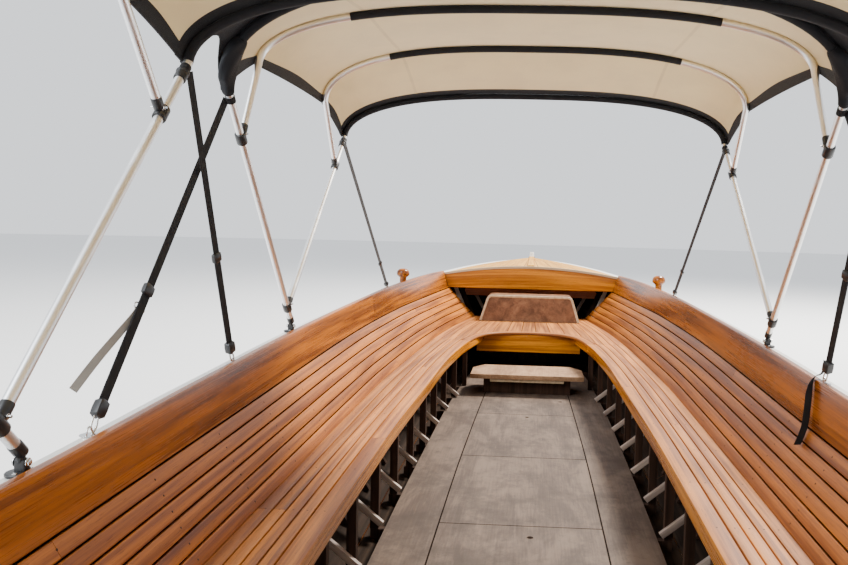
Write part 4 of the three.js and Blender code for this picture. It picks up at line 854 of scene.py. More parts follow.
def hull_planks(sizes):
    """Side and bottom planks, with caulked seams between them.

    A side's seams part its girth amidships evenly: the shares are read back from the length run
    along its curve. The bottom's planks share its breadth evenly. The caulk is a strip twice as
    wide as the seam, a few millimetres in from the planks' outer face.
    """
    t = np.linspace(0, 1, 200)
    girth = length_run(side_point(np.zeros(200), t))
    shares = np.interp(np.linspace(0, girth[-1], sizes.strakes + 1), girth, t)
    # the planks' inner faces take a near-black finish: painted shade
    finishes = ["hull_varnish", "bilge", "caulk"]
    for side, sign in SIDES:
        pile = Pile(11 if sign > 0 else 12)
        planks(pile, side_point, shares, sizes.seam / 2 / girth[-1], 0, sign)
        nodes = (f"hull_side_{side}", f"hull_quarter_{side}")
        piece(f"side_planks_{side}", pile, finishes, replaces=nodes)
    pile = Pile(13)
    planks(pile, bottom_point, np.linspace(-1, 1, 9), sizes.seam / 2 / chine_y(0.0), -1, 1.0)
    piece("bottom_planks", pile, ["bottom", "bilge", "caulk"], replaces=["hull_bottom"])


def planks(pile, surface, edges, half, lowest, sign):
    """Planks between shares of a surface, less half a seam where two meet, and caulk behind it."""
    # a plank has 12 edges around it, of which 5 lie on its inner side
    # the inner side is painted near black as shade
    inner_side = [0] * 6 + [1] * 5 + [0]
    for low, high in zip(edges[:-1], edges[1:]):
        near = low + (half if low > edges[0] else 0)
        far = high - (half if high < edges[-1] else 0)
        section = shell_plank(surface, near, far, 0, PLANKING, lowest)
        joints = butts(pile, AFT_END, FORE_END, 3)
        lay(pile, lambda x, s=section: flip(s(x), sign), joints, radius=0.0022, slot=inner_side)
    for middle in edges[1:-1]:
        section = shell_plank(surface, middle - 2 * half, middle + 2 * half, 0.004, 0.016, lowest)
        ends = [AFT_END + 0.002, FORE_END - 0.002]
        lay(pile, lambda x, s=section: flip(s(x), sign), ends, radius=0.0005, slot=2)


def rim():
    """Rails, coamings and the white head of the stem's post.

    Each is a four-cornered section at every x. A rail spans from the coaming's outer face to the
    edge of the planking, and a coaming from the backrest's top up to the gunwale.
    """
    for side, sign in SIDES:
        def rail(x):
            y, z = gunwale_y(x), gunwale_z(x)
            inner = y + COAMING_THICK + CLEAR
            outer = y + RAIL_OUT - BOW_TAPER * bow_share(x)
            low, high = z - RAIL_DROP - RAIL_HEIGHT + CLEAR, z - RAIL_DROP
            return flip(sections((x, inner, high), (x, outer, high), (x, outer, low), (x, inner, low)), sign)

        pile = Pile(21)
        lay(pile, rail, [AFT_END, -3.33, 0.22, 3.4, FORE_END], radius=0.006, steps=4)
        piece(f"white_rail_{side}", pile, "white_paint", replaces=[f"rail_{side}"])

        def coaming(x):
            y, z = backrest_y(x) + 0.002, backrest_z(x) + CLEAR
            top, height = gunwale_y(x), gunwale_z(x)
            foot, head = y + COAMING_THICK, top + COAMING_THICK
            return flip(sections((x, y, z), (x, top, height), (x, head, height), (x, foot, z)), sign)

        pile = Pile(22 if sign > 0 else 23)
        lay(pile, coaming, [COAMING_AFT, -3.35, 0.35, DECK_EDGE - CLEAR], radius=0.005, steps=4)
        piece(f"coaming_boards_{side}", pile, "varnish", replaces=[f"coaming_{side}"])
    pile = Pile(24)
    levels = (
        (0.7765, 0.031), (0.786, 0.031), (0.7885, 0.0288), (0.825, 0.0272), (0.8365, 0.0268),
        (0.8395, 0.0262),
    )
    rings = [points(*(oblong(half, half) + (STEM_HEAD_X, 0)).T, z) for z, half in levels]
    pile.rings(rounded(rings, 0.004))
    piece("stem_head", pile, "white_paint")


def side_benches(sizes):
    """Five planks a side and a strip under their front edge.

    The planks share the breadth between the front edge and the backrest in fixed parts, with an
    open seam on both sides of each. The first one's front edge has the strip's varnish, and the
    last one runs on under the backrest.
    """
    for side, sign in SIDES:
        pile = Pile(31 if sign > 0 else 32)
        for k, (low, high) in enumerate(zip(BENCH_SHARES[:-1], BENCH_SHARES[1:])):
            def plank(x):
                front, back = bench_front_y(x), junction_y(x)
                near = blend(front, back, low) + (sizes.bench_seam / 2 if k else -0.003)
                far = blend(front, back, high) - sizes.bench_seam / 2 + (BENCH_REACH if k == 4 else 0)
                under = BENCH_TOP - BENCH_THICK
                ring = sections((x, near, BENCH_TOP), (x, far, BENCH_TOP), (x, far, under), (x, near, under))
                return flip(ring, sign)

            # of the 12 edges around the first plank, 4 lie at its front edge
            slots = 0 if k else [1, *[0] * 8, 1, 1, 1]
            joints = butts(pile, BENCH_AFT, BENCH_FORE - 0.001, 1)
            lay(pile, plank, joints, radius=0.0035 if k else 0.006, slot=slots)

        def fascia(x):
            front = bench_front_y(x) + 0.002
            back = front + 0.016
            high, low = BENCH_TOP - BENCH_THICK - 0.0004, BENCH_TOP - BENCH_THICK - 0.05
            return flip(sections((x, front, low), (x, front, high), (x, back, high), (x, back, low)), sign)

        lay(pile, fascia, [BENCH_AFT, -1.41, BENCH_FORE - 0.001], radius=0.003, slot=1)
        nodes = (f"bench_aft_{side}", f"bench_fore_{side}")
        # the front strip and the first plank's front edge take the lighter varnish with painted sunlight
        piece(f"bench_planks_{side}", pile, ["slats", "beam_varnish"], replaces=nodes)


def arch_edge(inset):
    """The bow bench's front edge from starboard to port, moved forward square to itself.

    A smooth path runs through the edge's rows on both sides, and each point moves by the inset
    along the path's direction turned by a right angle.
    """
    rows = np.array(BOW_EDGE)
    knots = np.concatenate([rows[::-1] * (1, -1), rows[1:]])
    path = through(knots, 97)
    ahead = unit(np.gradient(path, axis=0))
    return path + inset * np.stack([ahead[:, 1], -ahead[:, 0]], axis=-1)


def bow_bench(sizes):
    """Planks that close in towards the bow, behind an arched nosing over a fascia and two strips.

    The fascia is straight, and the strip on each side of it is curved. A plank's edges keep their
    share of the bench's breadth. Its aft end follows the nosing's inner edge, found by trying y and
    x in turn, and every ring shares out the way from there forward.
    """
    pile = Pile(34)
    back, front = arch_edge(0.062), arch_edge(-0.001)
    under, over = BENCH_TOP - 0.0205, BENCH_TOP + 0.0005
    nosing = sections((*front.T, over), (*back.T, over), (*back.T, under), (*front.T, under))
    pile.board(nosing, radius=0.009, steps=4, tone=0.7)
    across = np.linspace(-0.43, 0.43, 30)
    far, low, high = BOW_EDGE[0][0] + 0.004, 0.108, under - CLEAR
    back = far + FASCIA_THICK
    fascia = sections((far, across, low), (far, across, high), (back, across, high), (back, across, low))
    pile.board(fascia, radius=0.003, steps=3, slot=1, tone=0.8)
    x, y = through([(1.5, 0.448), (1.65, 0.427), (1.8, 0.404), (1.95, 0.386), (far - CLEAR, 0.374)], 30).T
    low, back = 0.205, y + FASCIA_THICK
    strip = sections((x, y, low), (x, y, high), (x, back, high), (x, back, low))
    for sign in SIGNS:
        pile.board(flip(strip, sign), radius=0.003, steps=3, slot=1, tone=0.7)
    seam = arch_edge(0.0635)
    seam = seam[seam[:, 1] >= 0]
    seam_x, seam_y = seam[np.argsort(seam[:, 1])].T

    def aft_end(share):
        """Where a share of the breadth meets the nosing."""
        x = np.full_like(share, 2.0)
        for _ in range(12):
            y = np.abs(share) * junction_y(x)
            nosing_x = np.interp(y, seam_y, seam_x)
            x = np.where(y <= seam_y[-1], 0.5 * x + 0.5 * nosing_x, BENCH_FORE + 0.0007)
        return x

    breadth = junction_y(BENCH_FORE)
    front = bench_front_y(BENCH_FORE) / breadth
    outer = blend(front, 1.0, BENCH_SHARES[1:])
    edges = np.concatenate([-outer[::-1], np.linspace(-front, front, 8), outer])
    slack, reach = sizes.bench_seam / 2 / breadth, BENCH_REACH / breadth
    for low, high in zip(edges[:-1], edges[1:]):
        near = low + slack if low > -0.999 else low - reach
        far = high - slack if high < 0.999 else high + reach
        across = np.linspace(near, far, 5)
        x = stepped(aft_end(across), DECK_EDGE - 0.001, 20)
        y = across * junction_y(x)
        top, under = points(x, y, BENCH_TOP), points(x, y, BENCH_TOP - BENCH_THICK)
        pile.board(np.concatenate([top, under[:, ::-1]], axis=1), radius=0.003)
    # the fascia and the two curved strips take the lighter varnish with painted sunlight
    piece("bow_bench_planks", pile, ["slats", "beam_varnish"], replaces=["bench_bow"])


def backrests(sizes):
    """Leaning slats on knees at the ribs, and nails where slats and bench planks cross the ribs.

    A slat takes its share of the way from the bench to the coaming, less half a seam at both
    edges, and its thickness is laid off square to the lean.
    """
    ribs = RIBS[(RIBS > BENCH_AFT) & (RIBS < DECK_EDGE)]

    def at(x, share, back=0.0):
        """Points at a share of the way up the backrest's face, or so far behind it."""
        foot = points(x, junction_y(x), BENCH_TOP + CLEAR)
        head = points(x, backrest_y(x), backrest_z(x))
        way = unit(head - foot)
        out = np.stack([np.zeros_like(way[..., 0]), way[..., 2], -way[..., 1]], axis=-1)
        return foot + (head - foot) * np.asarray(share)[..., None] + out * back

    for side, sign in SIDES:
        pile = Pile(41 if sign > 0 else 42)
        count = sizes.slats
        half = sizes.slat_seam / 2 / 0.26
        for k in range(count):
            low, high = k / count + half, (k + 1) / count - half

            def slat(x):
                corners = [at(x, low), at(x, high), at(x, high, 0.014), at(x, low, 0.014)]
                return flip(np.stack(corners, axis=1), sign)

            lay(pile, slat, butts(pile, BENCH_AFT, DECK_EDGE - 0.001, 1), radius=0.0035, steps=3)
        for x in ribs:
            z = np.array([0.29, 0.49])
            slope = (backrest_y(x) - junction_y(x)) / (backrest_z(x) - BENCH_TOP)
            front = junction_y(x) + slope * (z - BENCH_TOP) + 0.0155
            behind = inner_y(x, z) - 0.002
            knee = [(front[0], z[0]), (front[1], z[1]), (behind[1], z[1]), (behind[0], z[0])]
            rings = [points(x + dx, *np.array(knee).T) for dx in (-0.015, 0.015)]
            pile.board(flip(rings, sign), radius=0.002, slot=1)
        # the slats take the deeper copy of the bench wood: painted shade
        parts, node = ["back_slats", "frames"], f"backrest_{side}"
        piece(f"backrest_slats_{side}", pile, parts, replaces=[node])

        heads = Pile(44)
        shares = (np.arange(count) + 0.5) / count
        grid_x, grid_s = (a.ravel() for a in np.meshgrid(ribs, shares))
        on_slats = at(grid_x, grid_s, -0.0002)
        facing = at(grid_x, grid_s, -1.0) - at(grid_x, grid_s)
        bench_ribs = ribs[ribs < BENCH_FORE]
        plank_shares = np.array([0.13, 0.357, 0.541, 0.725, 0.908])
        bench_x, bench_s = (a.ravel() for a in np.meshgrid(bench_ribs, plank_shares))
        on_bench = points(bench_x, blend(bench_front_y(bench_x), junction_y(bench_x), bench_s), BENCH_TOP)
        origins = flip(np.concatenate([on_slats, on_bench]), sign)
        axes = flip(np.concatenate([facing, np.tile((0.0, 0.0, 1.0), (len(on_bench), 1))]), sign)
        levels = ((1.0, -0.001), (1.0, 0.0003), (0.55, 0.0008))
        dot = np.concatenate([points(*(sizes.nail * share * spokes(8)).T, z) for share, z in levels])
        walls = [[i + 8 * k, (i + 1) % 8 + 8 * k, (i + 1) % 8 + 8 * (k + 1), i + 8 * (k + 1)]
                 for k in range(2) for i in range(8)]
        heads.stamped(dot, [*walls, list(range(16, 24)), list(range(7, -1, -1))], origins, axes)
        piece(f"nail_heads_{side}", heads, "nails")


def floor_and_steps():
    """Floor seams, step board and box step, and finishes for the solids that stay.

    The box step's front is a trapezoid whose two upper corners are curves that mix, by the same
    share, the way to the corner and the way on from it.
    """
    dress(["floor"], "plywood")
    dress(["floor_timbers", "forepeak_frame"], "frames")
    dress(["keel_and_stem"], "keel")
    dress(["transom", "aft_bulkhead", "helm_thwart"], "varnish_across")

    pile = Pile(50)
    x = np.linspace(-5.235, 2.295, 90)
    low, high = FLOOR_TOP - 0.003, FLOOR_TOP + 0.0003
    for sign in SIGNS:
        y = sign * floor_seam_y(x)
        left, right = y - 0.0032, y + 0.0032
        seam = sections((x, left, low), (x, right, low), (x, right, high), (x, left, high))
        pile.board(seam, radius=0.0001, steps=1)
    for x in -0.37 + 0.99 * np.arange(-4, 3):
        half = floor_seam_y(x) - 0.003
        pile.block((x - 0.0016, -half, low), (x + 0.0016, half, high), 0.0002, along=1)
    piece("floor_seams", pile, "seam_shadow")

    pile = Pile(51)
    half = np.array([(1.21, -0.415), (1.5, -0.415), (1.64, -0.335)])
    outline = np.concatenate([half, half[::-1] * (1, -1)])
    board = rounded(outline, 0.006, 3)
    small = rounded(outline * (0.9965, 0.993) + (0.005, 0), 0.006, 3)
    levels = ((small, 0.038), (board, 0.042), (board, 0.066), (small, 0.070))
    pile.rings(np.stack([points(ring[:, 0], ring[:, 1], z) for ring, z in levels]))
    # the two bearers take the dark frames' finish: painted shade under the step board
    for x in (1.29, 1.56):
        pile.block((x, -0.32, FLOOR_TOP + CLEAR), (x + 0.024, 0.32, 0.038), 0.003, slot=2, along=1)
    pile.block((1.226, -0.27, 0.014), (1.248, 0.27, 0.0375), 0.003, slot=1, along=1)
    piece("step_planks", pile, ["step_top", "pale_wood", "frames"], replaces=["step_board"])

    pile = Pile(52)
    low, top = BENCH_TOP + CLEAR, 0.513
    front, back = 2.8635, 3.2
    foot, corner = np.array([0.462, low]), np.array([0.392, top - 0.0005])
    t = np.linspace(0, 1, 8)[:, None]
    into, onward = corner + 0.035 * unit(foot - corner), corner - (0.035, 0)
    bend = blend(blend(into, corner, t), blend(corner, onward, t), t)
    half = np.concatenate([[foot], bend])
    y, z = np.concatenate([half, half[::-1] * (-1, 1)]).T
    front = front + 0.03 * (z - low) / (top - low)
    pile.rings(np.stack([points(front, y, z), points(back, y, z)]))
    bar = rounded(oblong(0.0105, 0.0095), 0.005, 4)
    path = points(front + 0.0035, y * 0.984, np.maximum(z - 0.0085, low + 0.004))
    pile.rings(carried(path, bar, up=(1, 0, 0)), slot=1)
    piece("box_step", pile, ["step_wood", "pale_wood"], replaces=["bow_box"])


def bench_frames():
    """Rib frames under the benches with their struts, and the forepeak's ribs and red board.

    A frame's outline follows the planking's inner face down to the floor timbers, and comes back up
    a frame's depth further in, round the leg at the bench's front.
    """
    high, bearer, low = BENCH_TOP - BENCH_THICK - CLEAR, 0.215, -0.078
    deep, half = 0.036, 0.017
    for side, sign in SIDES:
        pile = Pile(54)
        for x in RIBS[(RIBS > BENCH_AFT) & (RIBS < DECK_EDGE)]:
            levels = np.array([low, 0.06, high])
            side_y = np.minimum(inner_y(x - half, levels), inner_y(x + half, levels)) - 0.0012
            inner_z = np.array([bearer, 0.06, low])
            inside_y = np.minimum(inner_y(x - half, inner_z), inner_y(x + half, inner_z)) - deep
            if x < BENCH_FORE + 0.1:
                front = bench_front_y(x) + 0.0195
            else:
                front = 0.408 if x < 2.0 else 0.0005
            leg = [(front, bearer)]
            if x < 1.9:
                foot = -0.0917 if front > floor_edge_y(x) else FLOOR_TOP + CLEAR
                back = front + 0.034
                leg = [(front, foot), (back, foot), (back, bearer)]
            outline = np.array([*zip(side_y, levels), (front, high), *leg, *zip(inside_y, inner_z)])
            rings = [points(x + dx, *outline.T) for dx in (-half, half)]
            pile.board(flip(rings, sign), radius=0.002)
        x = np.linspace(BENCH_AFT + 0.01, 2.8, 60)
        near, far = junction_y(x) - 0.04, junction_y(x) - 0.01
        foot, head = high - 0.038, high - 0.002
        beam = sections((x, near, foot), (x, far, foot), (x, far, head), (x, near, head))
        pile.board(flip(beam, sign), radius=0.002)
        piece(f"bench_frames_{side}", pile, "frames", replaces=[f"frames_{side}"])

    pile = Pile(53)
    # the pale struts under the benches stand for sunlit frame edges: painted light
    for side, sign in SIDES:
        for x in RIBS[(RIBS > BENCH_AFT) & (RIBS < BENCH_FORE - 0.2)]:
            head = np.array([x - 0.0285, bench_front_y(x) + 0.19, FLOOR_TOP + 0.165])
            foot = np.array([x - 0.0285, bench_front_y(x) + 0.004, FLOOR_TOP + 0.014])
            path = stepped(foot, head, 4)
            strut = carried(path, oblong(0.011, 0.013), side=np.tile((1.0, 0.0, 0.0), (4, 1)))
            pile.board(flip(strut, sign), radius=0.003)
        # these ribs and the red board below take brightened colours: painted light in the recess under the
        # foredeck
        for x in (3.62, 4.2):
            z = np.linspace(0.06, 0.66, 16)
            path = points(x - 0.02 * (z - 0.06), inner_y(np.full(16, x), z) - 0.021, z)
            rib = carried(path, oblong(0.011, 0.020), side=np.tile((1.0, 0.0, 0.0), (16, 1)))
            pile.board(flip(rib, sign), radius=0.003, slot=2)
    side = np.linspace(-1, 1, 41)
    corners = ((3.824, 0.43), (3.824, 0.575), (3.8485, 0.575), (3.8485, 0.43))
    board = sections(*((x, side * (inner_y(x, z) - 0.006), z) for x, z in corners))
    pile.board(board, radius=0.004, steps=3, slot=1)
    piece("bench_struts", pile, ["pale_frames", "red_board", "forepeak_ribs"])


def decks(sizes):
    """Fore and after decks of tapered planks with dark seams, their beam, and two bollards.

    A deck's planks keep their shares of its breadth, and their height follows the camber. The
    beam's rings run across the boat, each as wide below as the planking leaves room for. The
    foredeck also has a raised plank on its middle line and a pale strip along its after edge.
    """
    def breadth(x):
        """Half the deck's breadth at x."""
        return gunwale_y(x) + COAMING_THICK - CLEAR

    def strip(x, low, high, centre, drop, thick, count):
        """Rings of a strip of deck between two shares of its breadth, which vary with x."""
        share = blend(low[:, None], high[:, None], np.linspace(0, 1, count))
        x = x[:, None]
        top = points(x, share * breadth(x), deck_z(x, np.abs(share), centre) - drop)
        return np.concatenate([top, (top - (0, 0, thick))[:, ::-1]], axis=1)

    def deck(pile, start, end, centre, edges):
        """Planks between the edges, and caulk a little below the seams where they meet."""
        for low, high in zip(edges[:-1], edges[1:]):
            def plank(x):
                slack = np.minimum(sizes.deck_seam / 2 / np.maximum(breadth(x), 0.02), 0.2 * (high - low))
                return strip(x, low + slack, high - slack, centre, 0.0, DECK_THICK, 4)

            lay(pile, plank, [start, end], step=0.09, radius=0.0018, steps=1)
        for middle in edges[1:-1]:
            def caulk(x):
                slack = sizes.deck_seam / np.maximum(breadth(x), 0.05)
                return strip(x, middle - slack, middle + slack, centre, 0.0025, 0.012, 2)

            lay(pile, caulk, [start + 0.002, end - 0.04], step=0.09, radius=0.0005, steps=1, slot=2)

    seams = [-1, -0.86, *np.linspace(-0.86, 0.86, 12)[1:-1], 0.86, 1]
    pile = Pile(61)
    deck(pile, DECK_EDGE + 0.001, FORE_END - 0.001, DECK_CENTRE, seams)
    x = np.linspace(DECK_EDGE + 0.01, 5.97, 40)
    width = np.minimum(0.032, gunwale_y(x) * 0.5 + 0.012)
    high, low = DECK_CENTRE + 0.014, DECK_CENTRE - 0.004
    king = sections((x, -width, high), (x, width, high), (x, width, low), (x, -width, low))
    pile.board(king, radius=0.005, steps=3, tone=0.9)
    y = np.linspace(-1, 1, 41) * (gunwale_y(DECK_EDGE) + COAMING_THICK - 0.002)
    z = deck_z(DECK_EDGE, np.abs(y) / (gunwale_y(DECK_EDGE) + COAMING_THICK), DECK_CENTRE)
    aft, fore = DECK_EDGE - 0.006, DECK_EDGE + 0.014
    edge = sections((aft, y, z - 0.021), (aft, y, z + 0.004), (fore, y, z + 0.004), (fore, y, z - 0.0178))
    pile.board(edge, radius=0.004, steps=3, slot=1, tone=1.0)
    piece("foredeck_planks", pile, ["deck", "pale_wood", "caulk"], replaces=["foredeck"])

    pile = Pile(62)
    deck(pile, AFT_END + 0.0005, AFTERDECK_EDGE, AFTERDECK_CENTRE, seams)
    piece("afterdeck_planks", pile, ["deck", "pale_wood", "caulk"], replaces=["afterdeck"])

    pile = Pile(63)
    share = np.linspace(-1, 1, 61)
    reach = gunwale_y(DECK_EDGE) + COAMING_THICK - 0.006
    low, aft, fore = 0.55, DECK_EDGE + 0.003, DECK_EDGE + 0.043
    foot = share * (inner_y(DECK_EDGE, low) - 0.012)
    head = share * reach
    under = deck_z(DECK_EDGE, np.abs(share), DECK_CENTRE) - DECK_THICK - 0.001
    beam = sections((aft, foot, low), (aft, head, under), (fore, head, under), (fore, foot, low))
    pile.board(beam, radius=0.004, steps=3)
    # the beam takes the lighter varnish with painted sunlight
    piece("deck_beam_board", pile, "beam_varnish", replaces=["deck_beam"])

    knots = [(0.0008, 0), (0.026, 0), (0.0255, 0.012), (0.0265, 0.036), (0.037, 0.048), (0.0478, 0.058),
             (0.0500, 0.070), (0.0468, 0.087), (0.036, 0.1015), (0.018, 0.1092), (0.0008, 0.1105)]
    profile = through(knots, 48)
    for side, sign in SIDES:
        pile = Pile(64)
        place = (1.75, sign * (gunwale_y(1.75) + 0.0515), gunwale_z(1.75) - RAIL_DROP + CLEAR)
        pile.turned(profile, centre=place, sides=40)
        pile.turned([(0.030, -0.0002), (0.030, 0.003), (0.027, 0.0045)], centre=place, sides=32, slot=1)
        parts, node = ["varnish", "stainless"], f"bollard_{side}"
        piece(f"bollard_{side}_turned", pile, parts, replaces=[node])


# The two tops: the x of the deck hinges and, for each bow, which bow carries it, at what share of
# that bow's leg, and the x and z of its corners and its highest point
TOPS = {
    "fore": (-1.17, {
        "a": (None, 0.0, -2.05, 1.535, -2.17, 1.85),
        "b": ("a", 0.84, -1.775, 1.672, -1.7, 1.89),
        "c": ("d", 0.8, -0.885, 1.68, -0.95, 1.92),
        "d": ("a", 0.085, -0.5, 1.57, -0.42, 1.8),
    }),
    "aft": (-3.063, {
        "a": (None, 0.0, -3.93, 1.525, -4.05, 1.84),
        "b": ("a", 0.84, -3.655, 1.662, -3.58, 1.88),
        "c": ("d", 0.8, -2.715, 1.66, -2.79, 1.905),
        "d": ("a", 0.085, -2.34, 1.56, -2.262, 1.792),
    }),
}
TOP_HALF = 0.95
EAR_HEIGHT = 0.044
CLOTH_OFF = TUBE_R + 0.0031
CLOTH_THICK = 0.0022
# half the breadth of a corner's black cuff, against the share of the way down
CUFF_BREADTH = ((0.0, 0.020), (0.12, 0.036), (0.5, 0.043), (0.72, 0.040), (0.88, 0.021), (1.0, 0.0165))


def rail_spot(x):
    """The middle of the port rail's top at x."""
    return np.array([x, gunwale_y(x) + 0.052, gunwale_z(x) - RAIL_DROP])


def arch_point(corner_x, corner_z, high_x, high_z, share, out=0.0):
    """A point of a bow's arch, as share runs from -1 at starboard to 1 at port.

    With a quarter turn for the whole share, the breadth is the sine to the power 1 / 1.4 and the
    rise the cosine to the power 1 / 1.1, and out is laid off square to the tube.
    """
    angle = share * TAU / 4
    across = np.sign(share) * np.abs(np.sin(angle)) ** (1 / 1.4)
    rise = np.where(np.abs(share) >= 1, 0.0, np.maximum(np.cos(angle), 0)) ** (1 / 1.1)
    return points(
        blend(corner_x, high_x, rise), (TOP_HALF + out) * across, blend(corner_z, high_z + out, rise)
    )


def arch_shares(reach=1.0, count=81):
    """Shares that lie evenly across the breadth: the power 1.4 of even steps."""
    even = np.linspace(-1, 1, count)
    return reach * np.sign(even) * np.abs(even) ** 1.4


def leg_foot(top, name):
    """Where a bow's port leg starts: over its deck hinge, or just off the tube that carries it."""
    hinge, bows = top
    on, share, corner_x, corner_z, _, _ = bows[name]
    if on is None:
        return rail_spot(hinge) + (0, 0, EAR_HEIGHT)
    seat = leg_point(top, on, share)
    corner = unit(np.array([corner_x, TOP_HALF, corner_z]) - seat)
    along = unit(leg_point(top, on, 1.0) - seat)
    cosine = abs(float(along @ corner))
    return seat + corner * (TUBE_R + CLEAR + TUBE_R * cosine) / np.sqrt(1 - cosine**2)


def leg_point(top, name, share):
    """A point at a share of the way up a bow's port leg."""
    _, _, corner_x, corner_z, _, _ = top[1][name]
    return blend(leg_foot(top, name), np.array([corner_x, TOP_HALF, corner_z]), share)


def bows():
    """Bent tubes with jaws, eye ends and deck hinges.

    A tube's path runs up the starboard leg, over the arch and down the port leg. The jaws and eye
    ends are turned about the line of the tube that they sit on, and so is the black collar near
    the head of each leg of a d bow.
    """
    for place, top in TOPS.items():
        for name, (on, share, *arch) in top[1].items():
            foot = leg_foot(top, name)
            over = arch_point(*arch, arch_shares(count=121))
            legs = blend(over[-1], foot, np.linspace(0, 1, 8)[1:, None])
            path = np.concatenate([(legs * (1, -1, 1))[::-1], over, legs])
            pile = Pile(71)
            pile.tube(path, TUBE_R, 20, up=(1, 0, 0))
            for sign in SIGNS:
                bow_end(pile, top, name, on, share, sign)
                if name == "d":
                    spot = leg_point(top, name, 0.945) * (1, sign, 1)
                    way = unit(leg_point(top, name, 1.0) * (1, sign, 1) - spot)
                    pile.turned([(0.0128, -0.017), (0.0156, -0.0165), (0.0168, -0.014), (0.0168, 0.010),
                                 (0.0185, 0.012), (0.0185, 0.017), (0.0128, 0.018)], way, spot, 24, slot=1)
            parts = ["tube", "nylon", "stainless"]
            piece(f"{place}_tube_{name}", pile, parts, replaces=[f"{place}_bow_{name}"])


def bow_end(pile, top, name, on, share, sign):
    """One end of a bow: a black plug with an eye, and the jaw or the deck hinge that holds it."""
    mirror = np.array([1.0, sign, 1.0])
    foot = leg_foot(top, name) * mirror
    corner = leg_point(top, name, 1.0) * mirror
    up = unit(corner - foot)
    plug = [(0.0112, 0), (0.0138, 0.001), (0.0142, 0.003), (0.0142, 0.03), (0.0136, 0.034), (0.0127, 0.0345)]
    pile.turned(plug, up, foot, 20, slot=1)
    if on is None:
        base = rail_spot(top[0]) * mirror
        pile.turned(
            [(0.028, 0.0004), (0.0305, 0.0012), (0.0305, 0.0055), (0.0285, 0.0075), (0.012, 0.0085)],
            (0, 0, 1), base, 32, slot=1,
        )
        for dx in (-0.02, 0.02):
            pile.bolt(base + (dx, 0, 0.007), (0, 0, 1), 0.0042, 0.004, slot=2)
        low, high = base + (-0.0085, -0.0125, 0.006), base + (0.0085, 0.0125, 0.034)
        pile.block(low, high, 0.003, slot=1, along=2)
        pin = base + (0, 0, 0.026)
        pile.turned([(0.0035, -0.019), (0.0035, 0.019)], (0, 1, 0), pin, 12, slot=2)
        for end in (-1, 1):
            pile.bolt(pin + (0, end * 0.0125, 0), (0, end, 0), 0.0062, 0.0055, slot=2)
        tongue = stepped(pin, foot + up * 0.012, 4)
        pile.tube(tongue, 0.0088, 14, up=(0, 1, 0), slot=1)
        return
    seat = leg_point(top, on, share) * mirror
    along = unit(leg_point(top, on, 1.0) * mirror - seat)
    half = [(0.0129, -0.021), (0.0172, -0.02), (0.018, -0.018)]
    jaw = half + [(radius, -height) for radius, height in half[::-1]]
    pile.turned(jaw, along, seat, 24, slot=1)
    tongue = stepped(seat + up * 0.012, foot + up * 0.01, 4)
    pile.tube(tongue, 0.0085, 14, up=(0, 1, 0), slot=1)
    side = unit(np.cross(along, up))
    pile.turned([(0.003, -0.021), (0.003, 0.021)], side, seat + up * 0.0185, 10, slot=2)
    for end in (-1, 1):
        pile.bolt(seat + up * 0.0185 + side * end * 0.0105, side * end, 0.0052, 0.005, slot=2)


def cloth_grid(rows, v, share, out, dip):
    """Points of the cloth over bows, as v runs from bow to bow and share across.

    Between two bows the arches' corners and heights are mixed evenly, and the cloth dips below
    that by a sine of the way times dip, most at the middle and not at all at the sides.
    """
    rows = np.asarray(rows, float)
    i = np.clip(v.astype(int), 0, len(rows) - 2)
    t = v - i
    mixed = [blend(rows[i, c], rows[i + 1, c], t)[:, None] for c in range(4)]
    span = np.abs(rows[i + 1, 2] - rows[i, 2])
    sag = (np.sin(t * TAU / 2) * dip * span)[:, None] * (1 - share**4)
    return arch_point(*mixed, share, out - sag)


def cloth_layer(pile, rows, v, share, low, high, dip, slot=0):
    """A closed sheet between two distances out from the bows' middle lines."""
    under = cloth_grid(rows, v, share, low, dip)
    over = cloth_grid(rows, v, share, high, dip)
    run = length_run(under[:, under.shape[1] // 2])
    wide = np.linalg.norm(np.diff(under, axis=1), axis=2).cumsum(axis=1)
    wide = np.concatenate([np.zeros((len(wide), 1)), wide], axis=1)
    flat = points(run[:, None], wide, 0.0)
    pile.rings(
        np.concatenate([under, over[:, ::-1]], axis=1), slot=slot,
        grain=np.concatenate([flat, flat[:, ::-1]], axis=1),
    )
    return under


def scallop(v):
    """How far the cloth reaches towards the corners: all the way at a bow, a little less between."""
    return 1 - 0.014 * np.sin(np.clip(v % 1.0, 0, 1) * TAU / 2) ** 0.8


